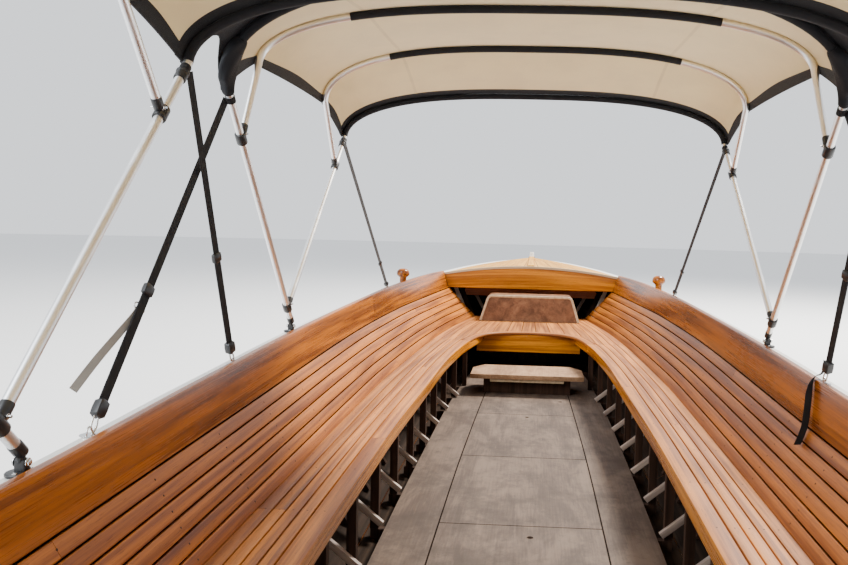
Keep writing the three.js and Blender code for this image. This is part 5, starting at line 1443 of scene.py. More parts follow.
def cloth_tops(sizes):
    """Two cloth tops with scalloped sides, black bindings and sleeves, and the band between them.

    The cloth's grid runs over the four bows. Its side edges draw in by a sine between the bows,
    its bindings follow the same edges, and a sleeve is a tube of cloth around a bow.
    """
    steps = np.linspace(0, 3, 64)
    even = arch_shares(count=101)
    for place, (_, table) in TOPS.items():
        rows = [row[2:] for row in table.values()]
        reach = scallop(steps)[:, None]
        pile = Pile(81)
        grid = cloth_layer(
            pile, rows, steps, even * reach, CLOTH_OFF, CLOTH_OFF + CLOTH_THICK, sizes.cloth_dip)
        for middle in (-0.34, 0.34):
            strip = np.linspace(middle - 0.006, middle + 0.006, 3)
            for low, high in ((CLOTH_OFF - 0.0008, CLOTH_OFF - 0.0001),
                              (CLOTH_OFF + CLOTH_THICK + 0.0001, CLOTH_OFF + CLOTH_THICK + 0.0009)):
                cloth_layer(pile, rows, steps, np.tile(strip, (64, 1)), low, high, sizes.cloth_dip, slot=1)
        top = piece(f"{place}_cloth_top", pile, ["canvas", "canvas_seam"], replaces=[f"{place}_canopy"])

        trim = Pile(82)
        for sign in SIGNS:
            band = np.linspace(0.0, 1.0, 5)
            inner = reach - 0.07 - 0.02 * np.sin(steps[:, None] * TAU / 2) ** 2
            cloth_layer(trim, rows, steps, sign * blend(inner, reach + 0.002, band), CLOTH_OFF - 0.0012,
                        CLOTH_OFF + CLOTH_THICK + 0.0012, sizes.cloth_dip)
        for v in (np.linspace(0.0, 0.12, 4), np.linspace(2.88, 3.0, 4)):
            low, high = CLOTH_OFF - 0.001, CLOTH_OFF + CLOTH_THICK + 0.001
            cloth_layer(trim, rows, v, np.tile(even, (4, 1)), low, high, sizes.cloth_dip)
        for name, extent in (("a", 0.995), ("b", 0.395), ("c", 0.395), ("d", 0.995)):
            path = arch_point(*table[name][2:], arch_shares(extent, 61), 0.0006)
            section = (TUBE_R + 0.0012) * spokes(20) * (1.0, 1.08)
            run = np.linspace(0, 2.0, 61)
            grain = points(run[:, None], section[None, :, 0], section[None, :, 1])
            trim.rings(carried(path, section, up=(1, 0, 0)), grain=grain)
        bound = piece(f"{place}_top_bindings", trim, "black_cloth")

    pile = Pile(83)
    rows = [TOPS["aft"][1]["d"][2:], TOPS["fore"][1]["a"][2:]]
    low = CLOTH_OFF + 0.0058
    steps = np.linspace(0, 1, 14)
    reach = 1 - 0.24 * np.sin(steps[:, None] * TAU / 2) ** 0.7
    grid = cloth_layer(pile, rows, steps, reach * arch_shares(count=101), low, low + CLOTH_THICK, 0.02)
    for row in rows:
        pile.tube(arch_point(*row, arch_shares(count=121), CLOTH_OFF + 0.0035), 0.0046, 12, up=(1, 0, 0))
    band = piece(
        "cloth_band_between_tops", pile, "black_cloth", replaces=["canopy_connector"])

    for side, sign in SIDES:
        pile = Pile(84)
        over = arch_point(*TOPS["fore"][1]["a"][2:], np.linspace(0.72, 1.0, 48)[:-1])
        leg = leg_point(TOPS["fore"], "a", np.linspace(1.0, 0.99, 4)[:, None])
        path = np.concatenate([over, leg])
        way = np.linspace(0, 1, len(path))
        section = spokes(32)
        crease = 1 + 0.05 * np.sin(5 * np.arctan2(section[:, 1], section[:, 0]) + 9 * way[:, None])
        thick = TUBE_R + 0.003 + 0.009 * np.sin(np.pi * way) ** 0.5
        broad = curve(CUFF_BREADTH)(way)
        section = section * crease[..., None] * np.stack([thick, broad], axis=-1)[:, None]
        rings = carried(path, section, up=(1, 0, 0))
        pile.rings(flip(rings, sign))
        piece(f"fore_corner_cuff_{side}", pile, "black_cloth")


# a stay's upper end is a band of webbing around the bow's leg
WRAP_R = TUBE_R + 0.0018
STAY_TWIST = 0.32
LINK_AT = 0.36
# the hook's body and the slider: place along the strap, half breadth, half depth and height
STAY_BODIES = ((-0.026, 0.015, 0.0125, 0.046), (0.325, 0.0165, 0.0075, 0.034))
# x of a stay's eye on the rail, and a shift in y off the bow's leg
STAYS = {
    "stay_aft_a": (-4.64, 0.0),
    "stay_aft_d": (-1.9, -0.012),
    "stay_fore_a": (-2.78, 0.014),
    "stay_fore_d": (1.15, 0.0),
}


def stay_line(name):
    """A port stay's eye, its head, the middle of the band around the bow's leg, and its axes.

    The strap's face is square to the cross product of its line and the y axis, turned about the
    line by the twist.
    """
    rail_x, shift = STAYS[name]
    _, place, bow = name.split("_")
    eye = rail_spot(rail_x) + (0, shift, 0.0004)
    spot = leg_point(TOPS[place], bow, 0.972)
    head = spot + (0, shift, 0) - unit(spot - eye) * np.sqrt(WRAP_R**2 - shift**2)
    up = unit(head - eye)
    flat = unit(np.cross(up, (0.0, 1.0, 0.0)))
    across = flat * np.cos(STAY_TWIST) + np.cross(flat, up) * np.sin(STAY_TWIST)
    return eye, head, spot, unit(leg_point(TOPS[place], bow, 1.0) - spot), up, across, np.cross(across, up)


def stays(sizes):
    """Webbing straps with buckles, hooks and eye plates, from the bows' corners to the rails.

    A strap is a flat section carried along a straight line, and its doubled end lies a thickness
    off it. The hook's body and the slider are eased nylon blocks, and the hook's wire runs through
    knots around the eye. The stay that has the grey strap end also has a ring for it.
    """
    for side, sign in SIDES:
        for name in STAYS:
            eye, head, spot, tube, up, across, out = stay_line(name)
            start = eye + up * 0.072
            pile = Pile(91)
            width = sizes.strap
            line = stepped(start, head, 30)
            pile.strap(line * (1, sign, 1), width, 0.0022, side=flip(np.tile(across, (30, 1)), sign))
            double = stepped(start, start + up * 0.35, 12) + out * 0.0026
            pile.strap(double * (1, sign, 1), width, 0.002, side=flip(np.tile(across, (12, 1)), sign))
            wrap = turned([(WRAP_R - 0.001, -0.011), (WRAP_R + 0.0008, -0.011), (WRAP_R + 0.0008, 0.011),
                           (WRAP_R - 0.001, 0.011)], tube, spot, 28)
            pile.rings(flip(wrap, sign), loop=True)
            for along, breadth, depth, tall in STAY_BODIES:
                levels = np.array([0.0, 0.12, 0.5, 0.88, 1.0])
                middle = start + up * (along + levels[:, None] * tall) + out * 0.0012
                half = oblong(breadth, depth) * np.array([0.6, 0.95, 1.0, 0.95, 0.6])[:, None, None]
                body = middle[:, None] + half[..., :1] * across + half[..., 1:] * out
                pile.board(flip(body, sign), radius=0.004, slot=2)
            knots = (
                (start, 0.001, 0.0), (start, -0.014, 0.005), (start, -0.034, 0.008), (eye, 0.014, 0.003),
                (eye, 0.011, -0.006), (eye, 0.026, -0.009), (start, -0.026, -0.004),
            )
            hook = [origin + up * rise + across * aside for origin, rise, aside in knots]
            pile.tube(flip(through(hook, 26), sign), 0.0027, 10, up=out * (1, sign, 1), slot=1)
            ring = np.linspace(0, TAU / 2, 14)[:, None]
            arc = eye + np.cos(ring) * np.array([0.013, 0, 0]) + np.sin(ring) * np.array([0, 0, 0.020])
            pile.tube(flip(arc, sign), 0.0024, 10, up=(0, 1, 0), slot=1)
            if (name, side) == ("stay_fore_a", "port"):
                turn = np.linspace(0, TAU, 33)[:-1, None]
                link = eye + up * (LINK_AT + 0.011 * np.cos(turn)) + out * 0.0068
                link += across * 0.0185 * np.sin(turn)
                pile.rings(carried(link, 0.0021 * spokes(10), up=out), loop=True, slot=1)
            plate = [(0.021, 0), (0.022, 0.0008), (0.0215, 0.0022), (0.012, 0.003)]
            pile.turned(plate, (0, 0, 1), flip(eye, sign), 28, slot=1)
            parts, node = ["webbing", "stainless", "nylon"], f"{name}_{side}"
            piece(f"{node}_strap", pile, parts, replaces=[node])
    strap_ends(sizes)


def strap_ends(sizes):
    """The loose ends of two straps: a black one laid over the coaming, a grey one off its stay.

    Each is a flat section along a smooth path. The black end's knots follow the coaming's inner
    face and the backrest's slats at half its width from them, and it turns edge on to them as it
    goes down. The grey end starts with its stay's width and turns evenly to a direction of its own.
    """
    top, height = gunwale_y(-1.915), gunwale_z(-1.915)
    off = 0.0028 + sizes.strap / 2
    knots = [(-1.908, top + 0.036, height + 0.060), (-1.911, top + 0.034, height + 0.034),
             (-1.916, top + 0.022, height + 0.016), (-1.925, top + 0.003, height + 0.011),
             (-1.937, top - off, height - 0.012)]
    for x, share in ((-1.955, 0.3), (-1.98, 0.6), (-2.0, 0.92)):
        y, z = blend(gunwale_y(x), backrest_y(x), share), blend(gunwale_z(x), backrest_z(x), share)
        knots.append((x, y - off, z))
    for x, share in ((-2.015, 0.09), (-2.025, 0.2)):
        y, z = blend(backrest_y(x), junction_y(x), share), blend(backrest_z(x), BENCH_TOP, share)
        knots.append((x, y - off, z))
    turn = np.radians(75) * np.clip(np.linspace(-0.25, 2.6, 40), 0, 1)
    side = points(np.cos(turn), np.sin(turn), 0.0)
    loose_end("black_strap_end", "webbing", flip(through(knots, 40), -1.0), flip(side, -1.0), sizes.strap)
    eye, _, _, _, up, across, out = stay_line("stay_fore_a")
    start = eye + up * LINK_AT + out * 0.0055
    knots = start + np.array([
        (0, 0, 0), (-0.018, 0.004, -0.017), (-0.075, 0.015, -0.058), (-0.155, 0.028, -0.112),
        (-0.233, 0.040, -0.170),
    ])
    side = unit(stepped(across, np.array([-0.30, 0.73, 0.61]), 30))
    loose_end("grey_strap_end", "grey_webbing", through(knots, 30), side, 0.8 * sizes.strap)


def loose_end(name, look, path, side, width):
    """A free strap end along a path; its length is worked out but not kept."""
    pile = Pile(92)
    pile.strap(path, width, 0.002, side=side)
    made = piece(name, pile, look)
    float(length_run(path)[-1])


FLOOR_RADIUS = 60
# the view in pixels: its size, the focal length and where the boat's long lines meet
VIEW_WIDTH, VIEW_HEIGHT, FOCAL, VANISHING = 848.0, 565.0, 800.0, (534.0, 231.0)
SENSOR = 36.0
EYE = (-4.55, -0.02, 1.12)


def studio(looks):
    """The pale floor at the waterline, with the hull's outline left open, soft light and the camera.

    The opening follows the planking at height nothing: each side's share is read back from its
    height, and ahead of the chine's rise the stem closes it. The floor's quads fan out from there.
    """
    x = np.linspace(-6.07, 5.75, 240)
    t = np.linspace(0, 1, 160)
    side = side_point(x[:, None], t)
    height = side[..., 2]
    above = np.argmax(height > 0, axis=1)
    below = np.maximum(above - 1, 0)
    row = np.arange(len(x))
    span = height[row, above] - height[row, below]
    part = np.where(span > 0, -height[row, below] / np.where(span > 0, span, 1), 0)[:, None]
    edge = blend(side[row, below], side[row, above], part)
    keep = (height[:, 0] < 0) & (edge[:, 1] > 0.03)
    port = edge[keep] - (0, 0.008, 0)
    port[:, 2] = 0
    loop = np.concatenate([port, port[::-1] * (1, -1, 1)])
    far = loop.copy()
    angle = np.linspace(np.pi - 0.03, 0.03, len(port))
    ring = np.concatenate([angle, -angle[::-1]])
    far[:, 0], far[:, 1] = FLOOR_RADIUS * np.cos(ring), FLOOR_RADIUS * np.sin(ring)
    n = len(loop)
    faces = [[i, (i + 1) % n, n + (i + 1) % n, n + i] for i in range(n)]
    mesh = bpy.data.meshes.new("studio_floor")
    mesh.from_pydata(np.concatenate([loop, far]).tolist(), [], faces)
    if mesh.polygons[0].normal.z < 0:
        mesh.flip_normals()
    mesh.materials.append(finish("studio_floor"))
    floor = bpy.data.objects.new("studio_floor", mesh)
    bpy.context.scene.collection.objects.link(floor)

    world = bpy.data.worlds.new("studio")
    world.use_nodes = True
    sky = world.node_tree.nodes["Background"]
    sky.inputs[0].default_value = (0.93, 0.96, 1.0, 1.0)
    sky.inputs[1].default_value = looks.ambient
    bpy.context.scene.world = world
    for name, place, towards, size, watts, colour in (
        ("key", (5.5, -4.5, 8.5), (0.5, 0.0, 0.3), 2.6, looks.key, (1.0, 0.95, 0.87)),
        ("fill", (-7.0, 6.0, 6.0), (-1.0, 0.0, 0.4), 6.0, looks.key * 0.25, (0.9, 0.95, 1.0)),
    ):
        lamp = bpy.data.lights.new(name, "AREA")
        lamp.shape, lamp.size = "DISK", size
        lamp.energy, lamp.color = watts, colour
        holder = bpy.data.objects.new(name, lamp)
        aim = Vector(towards) - Vector(place)
        holder.matrix_world = Matrix.Translation(place) @ aim.to_track_quat("-Z", "Y").to_matrix().to_4x4()
        bpy.context.scene.collection.objects.link(holder)

    yaw, pitch, roll = np.radians(2.4), np.radians(-3.7), 0.0265
    ahead = np.array([np.cos(pitch) * np.cos(yaw), np.cos(pitch) * np.sin(yaw), np.sin(pitch)])
    level = unit(np.cross(ahead, (0, 0, 1)))
    upward = np.cross(level, ahead)
    right = np.cos(roll) * level + np.sin(roll) * upward
    top = -np.sin(roll) * level + np.cos(roll) * upward
    data = bpy.data.cameras.new("camera")
    data.sensor_fit, data.sensor_width = "HORIZONTAL", SENSOR
    data.lens = FOCAL / VIEW_WIDTH * SENSOR
    data.clip_start, data.clip_end = 0.02, 200
    data.shift_x = -(VANISHING[0] - VIEW_WIDTH / 2 - FOCAL * right[0] / ahead[0]) / VIEW_WIDTH
    data.shift_y = (VANISHING[1] - VIEW_HEIGHT / 2 + FOCAL * top[0] / ahead[0]) / VIEW_WIDTH
    camera = bpy.data.objects.new("camera", data)
    turn = Matrix((right, top, -ahead)).transposed()
    camera.matrix_world = Matrix.Translation(EYE) @ turn.to_4x4()
    bpy.context.scene.collection.objects.link(camera)
    bpy.context.scene.camera = camera


def length_setting(name, description, default):
    """A setting for a length in metres."""
    return FloatProperty(name=name, description=description, default=default, unit="LENGTH")


def colour_setting(name, description, default):
    """A setting for a colour."""
    return FloatVectorProperty(name=name, description=description, default=default, subtype="COLOR")


class BoatSizes(bpy.types.PropertyGroup):
    """Sizes of the planks, slats, nails and straps."""

    strakes: IntProperty(name="Side planks", description="Planks in each side", default=7, min=4, max=12)
    seam: length_setting("Hull seam", "Space between two hull planks", 0.0035)
    bench_seam: length_setting("Bench seam", "Space between two bench planks", 0.0045)
    slats: IntProperty(name="Backrest slats", description="Slats in each backrest", default=6, min=3, max=9)
    slat_seam: length_setting("Slat seam", "Space between two backrest slats", 0.0045)
    deck_seam: length_setting("Deck seam", "Space between two deck planks", 0.004)
    nail: length_setting("Nail head", "Radius of a nail's head", 0.003)
    strap: length_setting("Strap width", "Width of the stays' webbing", 0.025)
    cloth_dip: FloatProperty(
        name="Cloth dip", description="How far the cloth dips, as a share of the space between two bows",
        default=0.018)


class BoatLooks(bpy.types.PropertyGroup):
    """Colours, gloss and light."""

    varnish_dark: colour_setting(
        "Varnish, dark", "Dark stripes of the varnished boards", (0.10, 0.02, 0.002))
    varnish_light: colour_setting(
        "Varnish, light", "Light stripes of the varnished boards", (0.54, 0.155, 0.004))
    # painted sunlight: the lighter varnish of the deck beam and of the benches' fronts
    sunlit_varnish_dark: colour_setting(
        "Deck beam, dark", "Dark stripes of the beam under the foredeck", (0.30, 0.085, 0.003))
    sunlit_varnish_light: colour_setting(
        "Deck beam, light", "Light stripes of the beam under the foredeck", (0.74, 0.26, 0.004))
    # one wood as lit and shaded copies: bench planks paler with painted sky light, backrest slats deeper with
    # painted shade
    sky_lit_slat_dark: colour_setting(
        "Bench planks, dark", "Dark stripes of the benches", (0.21, 0.066, 0.022))
    sky_lit_slat_light: colour_setting(
        "Bench planks, light", "Light stripes of the benches", (0.70, 0.265, 0.058))
    shaded_back_dark: colour_setting(
        "Backrest slats, dark", "Dark stripes of the backrests", (0.19, 0.05, 0.010))
    shaded_back_light: colour_setting(
        "Backrest slats, light", "Light stripes of the backrests", (0.62, 0.20, 0.022))
    deck_dark: colour_setting(
        "Deck, dark", "Dark stripes of the decks", (0.46, 0.215, 0.04))
    deck_light: colour_setting(
        "Deck, light", "Light stripes of the decks", (0.76, 0.40, 0.08))
    cloth: colour_setting(
        "Cloth", "Colour of the tops", (0.96, 0.78, 0.42))
    gloss: FloatProperty(
        name="Varnish roughness", description="Roughness of the glossy varnish", default=0.28,
        subtype="FACTOR")
    floor: colour_setting(
        "Studio floor", "Colour of the floor around the boat", (0.78, 0.79, 0.80))
    ambient: FloatProperty(name="Ambient light", description="Strength of the even light", default=1.35)
    key: FloatProperty(name="Main light", description="Power of the main light", default=3600.0, unit="POWER")


TILT = np.radians(12.0)
BED = 0.2
CRANK_Z = 0.145
BEARER_Y = 0.067
MOUNT_X = -5.8
PIVOT = np.array([MOUNT_X, 0.0, 0.98])
CYLINDERS = BED + np.array([-0.144, -0.048, 0.048, 0.144])
BLOCK_TOP, HEAD_TOP, COVER_TOP = 0.2543, 0.3063, 0.3583
PORT_Z = BLOCK_TOP + 0.024
PIPE_Y = 0.15
FAN_Z = 0.2703
GENERATOR = np.array([BED, -0.138, 0.2123])
CLEANER_X = BED + 0.02
PUMP_PORTS, PUMP_Y = BED - 0.115 + 0.035 * np.arange(4), -0.13
PIN_HOLE = 0.0158


def tilted(spots):
    """Points of the motor's own frame, turned 12 degrees nose down at the stern about its pins."""
    x, y, z = np.moveaxis(np.asarray(spots, float), -1, 0)
    return PIVOT + points(x * np.cos(TILT) - z * np.sin(TILT), y, x * np.sin(TILT) + z * np.cos(TILT))


class MotorPile(Pile):
    """A pile whose shapes are given in the motor's own frame, which is turned as it is gathered."""

    def take(self, vertices, faces, grain=None, tone=0.5, slot=0):
        """Adds points and the faces between them, in the boat's frame."""
        super().take(tilted(vertices), faces, grain, tone, slot)


def pierced(pile, outline, hole, radius, depths, axis, origin=(0, 0, 0)):
    """A plate with a round hole, between two depths along an axis.

    Its section at each point of the outline runs straight in to the hole, which it meets at the
    same angle about the hole's centre.
    """
    turn = np.concatenate([outline, outline[:1]])
    steps = np.linspace(0, 1, 7)[:-1, None]
    outer = np.concatenate([blend(a, b, steps) for a, b in zip(turn[:-1], turn[1:])])
    way = unit(outer - hole)
    inner = hole + way * radius
    low, high = depths
    ease = 0.0015
    rows = [(outer, low + ease), (outer - way * ease, low), (inner, low),
            (inner, high), (outer - way * ease, high), (outer, high - ease)]
    rings = np.stack([np.insert(flat, axis, depth, axis=1) for flat, depth in rows], axis=1)
    pile.rings(rings + origin, loop=True)


def arc_top(foot, low, centre, radius):
    """An outline with a straight foot, a half circle on top and straight sides between them."""
    angle = np.linspace(0, np.pi, 19)
    over = centre + radius * np.column_stack([np.cos(angle), np.sin(angle)])
    ease = 0.003
    under = [(-foot, low + ease), (ease - foot, low), (foot - ease, low), (foot, low + ease)]
    return np.concatenate([over, under])


def motor_mount():
    """The pillar on the afterdeck and the yoke that swivels on it.

    The pillar is a turned post on a plate, with four gussets. The yoke is a turned collar under a
    bar, and its cheeks are plates with a hole and a boss.
    """
    pile = Pile(108)
    foot = np.array([MOUNT_X, 0.0, 0.7123])
    pile.block(foot - (0.14, 0.14, 0), foot + (0.14, 0.14, 0.0117), 0.004, along=2)
    post = [(0.068, 0.724), (0.0635, 0.727), (0.0595, 0.736), (0.055, 0.752), (0.0505, 0.775),
            (0.0475, 0.798), (0.0465, 0.8165), (0.0445, 0.8195)]
    pile.turned(post, centre=(MOUNT_X, 0, 0), sides=56)
    reach, height = np.array([(0.044, 0.724), (0.126, 0.724), (0.126, 0.7305), (0.044, 0.802)]).T
    for x, y in spokes(4):
        gusset = [points(MOUNT_X + x * reach - y * half, y * reach + x * half, height)
                  for half in (-0.0045, 0.0045)]
        pile.board(gusset, radius=0.0015)
    piece("motor_pillar_casting", pile, "steel", replaces=["motor_pillar"])

    pile = Pile(109)
    pile.turned([(0.0505, -0.1597), (0.052, -0.1582), (0.052, -0.147), (0.054, -0.1425), (0.060, -0.1385),
                 (0.060, -0.137)], centre=PIVOT, sides=56)
    pile.block(PIVOT + (-0.044, -0.133, -0.137), PIVOT + (0.044, 0.133, -0.118), 0.003, along=1)
    cheek = arc_top(0.045, -0.138, np.array([0.0, 0.003]), 0.033)
    for side in (-1, 1):
        depths = sorted((side * 0.122, side * 0.136))
        pierced(pile, cheek, np.zeros(2), PIN_HOLE, depths, 1, PIVOT)
        boss = [(PIN_HOLE, 0.1355), (0.027, 0.1355), (0.027, 0.1385), (0.0255, 0.1398), (PIN_HOLE, 0.1398)]
        pile.rings(turned(boss, (0, side, 0), PIVOT, 40), loop=True)
        for x in (-0.028, 0.028):
            across = x + np.array([-0.004, 0.004, 0.004, -0.004])
            web = [points(across, side * np.array([0.1225, 0.1225, y, y]), z)
                   for y, z in ((0.090, -0.1185), (0.119, -0.085))]
            pile.board(np.array(web) + PIVOT, radius=0.001)
    piece("motor_yoke_casting", pile, "steel", body="motor_swivel", replaces=["motor_yoke"])


def motor_frame():
    """The tilting cradle, the shaft's tube with its skeg, and the tiller's tube."""
    pile = MotorPile(110)
    for side in (-1, 1):
        middle = side * BEARER_Y
        pile.block((-0.25, middle - 0.015, -0.010), (0.65, middle + 0.015, 0.030), 0.003)
        pins = [(0.015, 0.060), (0.015, 0.0778), (0.0225, 0.078), (0.024, 0.0795), (0.024, 0.1145),
                (0.0225, 0.116), (0.015, 0.1162), (0.015, 0.1412), (0.0142, 0.142)]
        pile.turned(pins, (0, side, 0), sides=44)
        gusset = [(-0.2438, 0.0301), (-0.165, 0.0301), (-0.165, 0.036), (-0.2438, 0.118)]
        pile.board([[(x, middle + y, z) for x, z in gusset] for y in (-0.004, 0.004)], radius=0.0015)
    for x in (-0.19, 0.51, 0.64):
        pile.block((x - 0.01, -0.075, -0.009), (x + 0.01, 0.075, 0.022), 0.002, along=1)
    plate = arc_top(0.082, -0.010, np.array([0.0, 0.123]), 0.082)
    pierced(pile, plate, np.array([0.0, CRANK_Z]), 0.0248, (-0.262, -0.244), 0)
    piece("motor_cradle_frame", pile, "iron", body="motor_tilt", replaces=["motor_cradle"])

    pile = MotorPile(111)
    crank = (0, 0, CRANK_Z)
    for profile in (
        [(0.0225, -3.56), (0.024, -3.5585), (0.024, -0.1318), (0.0225, -0.1303)],
        [(0.031, -3.56), (0.0365, -3.5588), (0.038, -3.556), (0.038, -3.462), (0.0365, -3.458),
         (0.028, -3.44), (0.0245, -3.436)],
        [(0.0465, -0.276), (0.048, -0.2745), (0.048, -0.2638), (0.0465, -0.2623)],
    ):
        pile.turned(profile, (1, 0, 0), crank, 48)
    bar = rounded(oblong(0.006, 0.013), 0.0035)
    rod = [(-3.18, 0, -0.018), (-3.3, 0, -0.09), (-3.42, 0, -0.158), (-3.54, 0, -0.184), (-3.68, 0, -0.19)]
    pile.rings(carried(through(rod, 40) + crank, bar))
    strut = points(-3.48, 0, np.linspace(-0.025, 0.119, 4))
    pile.rings(carried(strut, bar * 0.94, up=(1, 0, 0)))
    piece("shaft_casing", pile, "steel", body="motor_tilt", replaces=["shaft_tube"])

    pile = MotorPile(112)
    handle = [(0.6543, 0, 0.008), (0.76, 0, 0.02), (0.9, 0, 0.044), (1.13, 0, 0.083)]
    radius = np.full(48, 0.016)
    radius[-2:] = (0.0155, 0.0125)
    pile.tube(through(handle, 48), radius, 28, up=(0, 1, 0))
    pile.block((0.6503, -0.040, -0.008), (0.6603, 0.040, 0.026), 0.002)
    for y in (-0.029, 0.029):
        pile.bolt((0.6602, y, 0.009), (1, 0, 0), 0.0065, 0.007)
    piece("tiller_tube", pile, "steel", body="motor_tilt", replaces=["tiller"])


def motor_engine():
    """The engine's block, sump, head, cover, bell housing, wheels, generator and air cleaner.

    The long parts are eased boxes and the round ones turned profiles.
    """
    pile = MotorPile(113)
    # block, sump, head, gasket, cover and its rim, by half length, half breadth, foot, top, rounding
    # and slot
    for x, y, low, high, radius, slot in (
        (0.2, 0.105, 0.0303, BLOCK_TOP, 0.011, 0),
        (0.175, 0.046, -0.0197, 0.0403, 0.008, 0),
        (0.195, 0.088, BLOCK_TOP - 0.004, HEAD_TOP, 0.005, 0),
        (0.197, 0.091, BLOCK_TOP - 0.0005, BLOCK_TOP + 0.0035, 0.001, 1),
        (0.18, 0.06, HEAD_TOP - 0.006, COVER_TOP, 0.012, 0),
        (0.185, 0.065, HEAD_TOP - 0.002, HEAD_TOP + 0.007, 0.003, 0),
    ):
        pile.block((BED - x, -y, low), (BED + x, y, high), radius, slot)
    for x in CYLINDERS:
        pile.block((x - 0.009, -0.112, 0.0563), (x + 0.009, 0.112, 0.2263), 0.003, along=2)
    for side in (-1, 1):
        for x in BED + np.array([-0.096, 0.0, 0.096]):
            pile.turned([(0.0205, 0), (0.0205, 0.0022), (0.0185, 0.0038), (0.0165, 0.0018), (0.001, 0.0018)],
                        (0, side, 0), (x, side * 0.1045, 0.108), 32)
    bell = [(0.056, -0.33), (0.0605, -0.3285), (0.062, -0.324), (0.066, -0.30), (0.0815, -0.232),
            (0.0845, -0.2085), (0.1052, -0.2085), (0.107, -0.2067), (0.107, -0.2), (0.1055, -0.197)]
    crank = (BED, 0, CRANK_Z)
    pile.turned(bell, (1, 0, 0), crank, 64)
    cap = [(0.017, 0.3575), (0.017, 0.362), (0.0215, 0.363), (0.0225, 0.366), (0.0225, 0.374),
           (0.021, 0.3775), (0.0165, 0.379)]
    pile.turned(cap, centre=(BED + 0.115, 0, 0), sides=32, slot=1)
    hub = [(0.026, 0.19), (0.026, 0.2145), (0.0685, 0.2165), (0.0685, 0.2362), (0.0625, 0.2378),
           (0.057, 0.2325), (0.038, 0.2325), (0.034, 0.2385), (0.026, 0.24), (0.026, 0.2445),
           (0.0235, 0.2462), (0.01, 0.2464)]
    pile.turned(hub, (1, 0, 0), crank, 56, slot=1)
    fan = [(0.02, 0.19), (0.02, 0.2145), (0.0505, 0.2165), (0.0505, 0.2362), (0.0455, 0.2378),
           (0.041, 0.2325), (0.029, 0.2325), (0.026, 0.2385), (0.02, 0.24), (0.02, 0.2445),
           (0.0175, 0.2462), (0.008, 0.2464)]
    pile.turned(fan, (1, 0, 0), (BED, 0, FAN_Z), 48, slot=1)
    generator = [(0.03, 0.06), (0.046, 0.0605), (0.0512, 0.0655), (0.052, 0.071), (0.052, 0.179),
                 (0.0512, 0.1845), (0.046, 0.1895), (0.016, 0.191), (0.016, 0.2155), (0.0292, 0.216),
                 (0.03, 0.218), (0.0225, 0.2245), (0.0225, 0.2275), (0.03, 0.234), (0.0292, 0.2358),
                 (0.008, 0.236)]
    pile.turned(generator, (1, 0, 0), GENERATOR, 48, slot=1)
    parts = ["engine_paint", "cast"]
    piece("engine_casting", pile, parts, body="motor_tilt", replaces=["engine"])

    pile = MotorPile(114)
    drum = [(0.034, 0.3575), (0.034, 0.388), (0.0855, 0.3885), (0.091, 0.3915), (0.092, 0.396),
            (0.092, 0.4225), (0.0932, 0.4245), (0.0932, 0.4275), (0.092, 0.4295), (0.092, 0.437),
            (0.0905, 0.4415), (0.085, 0.4443), (0.03, 0.4443), (0.027, 0.4455), (0.02, 0.446),
            (0.02, 0.453), (0.0175, 0.4562), (0.002, 0.4564)]
    pile.turned(drum, centre=(CLEANER_X, 0, 0), sides=64)
    piece("air_cleaner_drum", pile, "black_enamel", body="motor_tilt")

    pile = MotorPile(115)
    for x in CYLINDERS:
        pile.block((x - 0.03, 0.0883, PORT_Z - 0.021), (x + 0.03, 0.0963, PORT_Z + 0.021), 0.003, along=1)
        branch = [(0.0205, 0.0955), (0.0185, 0.099), (0.0172, 0.104), (0.017, 0.135)]
        pile.turned(branch, (0, 1, 0), (x, 0, PORT_Z), 28)
        for dx in (-0.0215, 0.0215):
            pile.bolt((x + dx, 0.0962, PORT_Z), (0, 1, 0), 0.0058, 0.007)
    log = [(0.010, -0.17), (0.0185, -0.1675), (0.0232, -0.1615), (0.024, -0.155), (0.024, 0.155),
           (0.0232, 0.1615), (0.0185, 0.1675), (0.010, 0.17)]
    pile.turned(log, (1, 0, 0), (BED, PIPE_Y, PORT_Z), 32)
    rise = [(-0.15, 0, 0), (-0.19, 0, 0.008), (-0.215, 0, 0.043), (-0.222, 0, 0.098), (-0.222, 0, 0.2),
            (-0.222, 0, 0.31)]
    outlet = np.array([BED, PIPE_Y, PORT_Z])
    pile.tube(through(rise, 48) + outlet, 0.022, 28, up=(0, 1, 0))
    mouth = [(0.0222, 0.298), (0.0236, 0.301), (0.0236, 0.3285), (0.0226, 0.33), (0.019, 0.3295),
           (0.0185, 0.316), (0.001, 0.316)]
    pile.turned(mouth, centre=outlet + (-0.222, 0, 0), sides=36)
    piece("exhaust_pipe", pile, "iron", body="motor_tilt", replaces=["exhaust"])


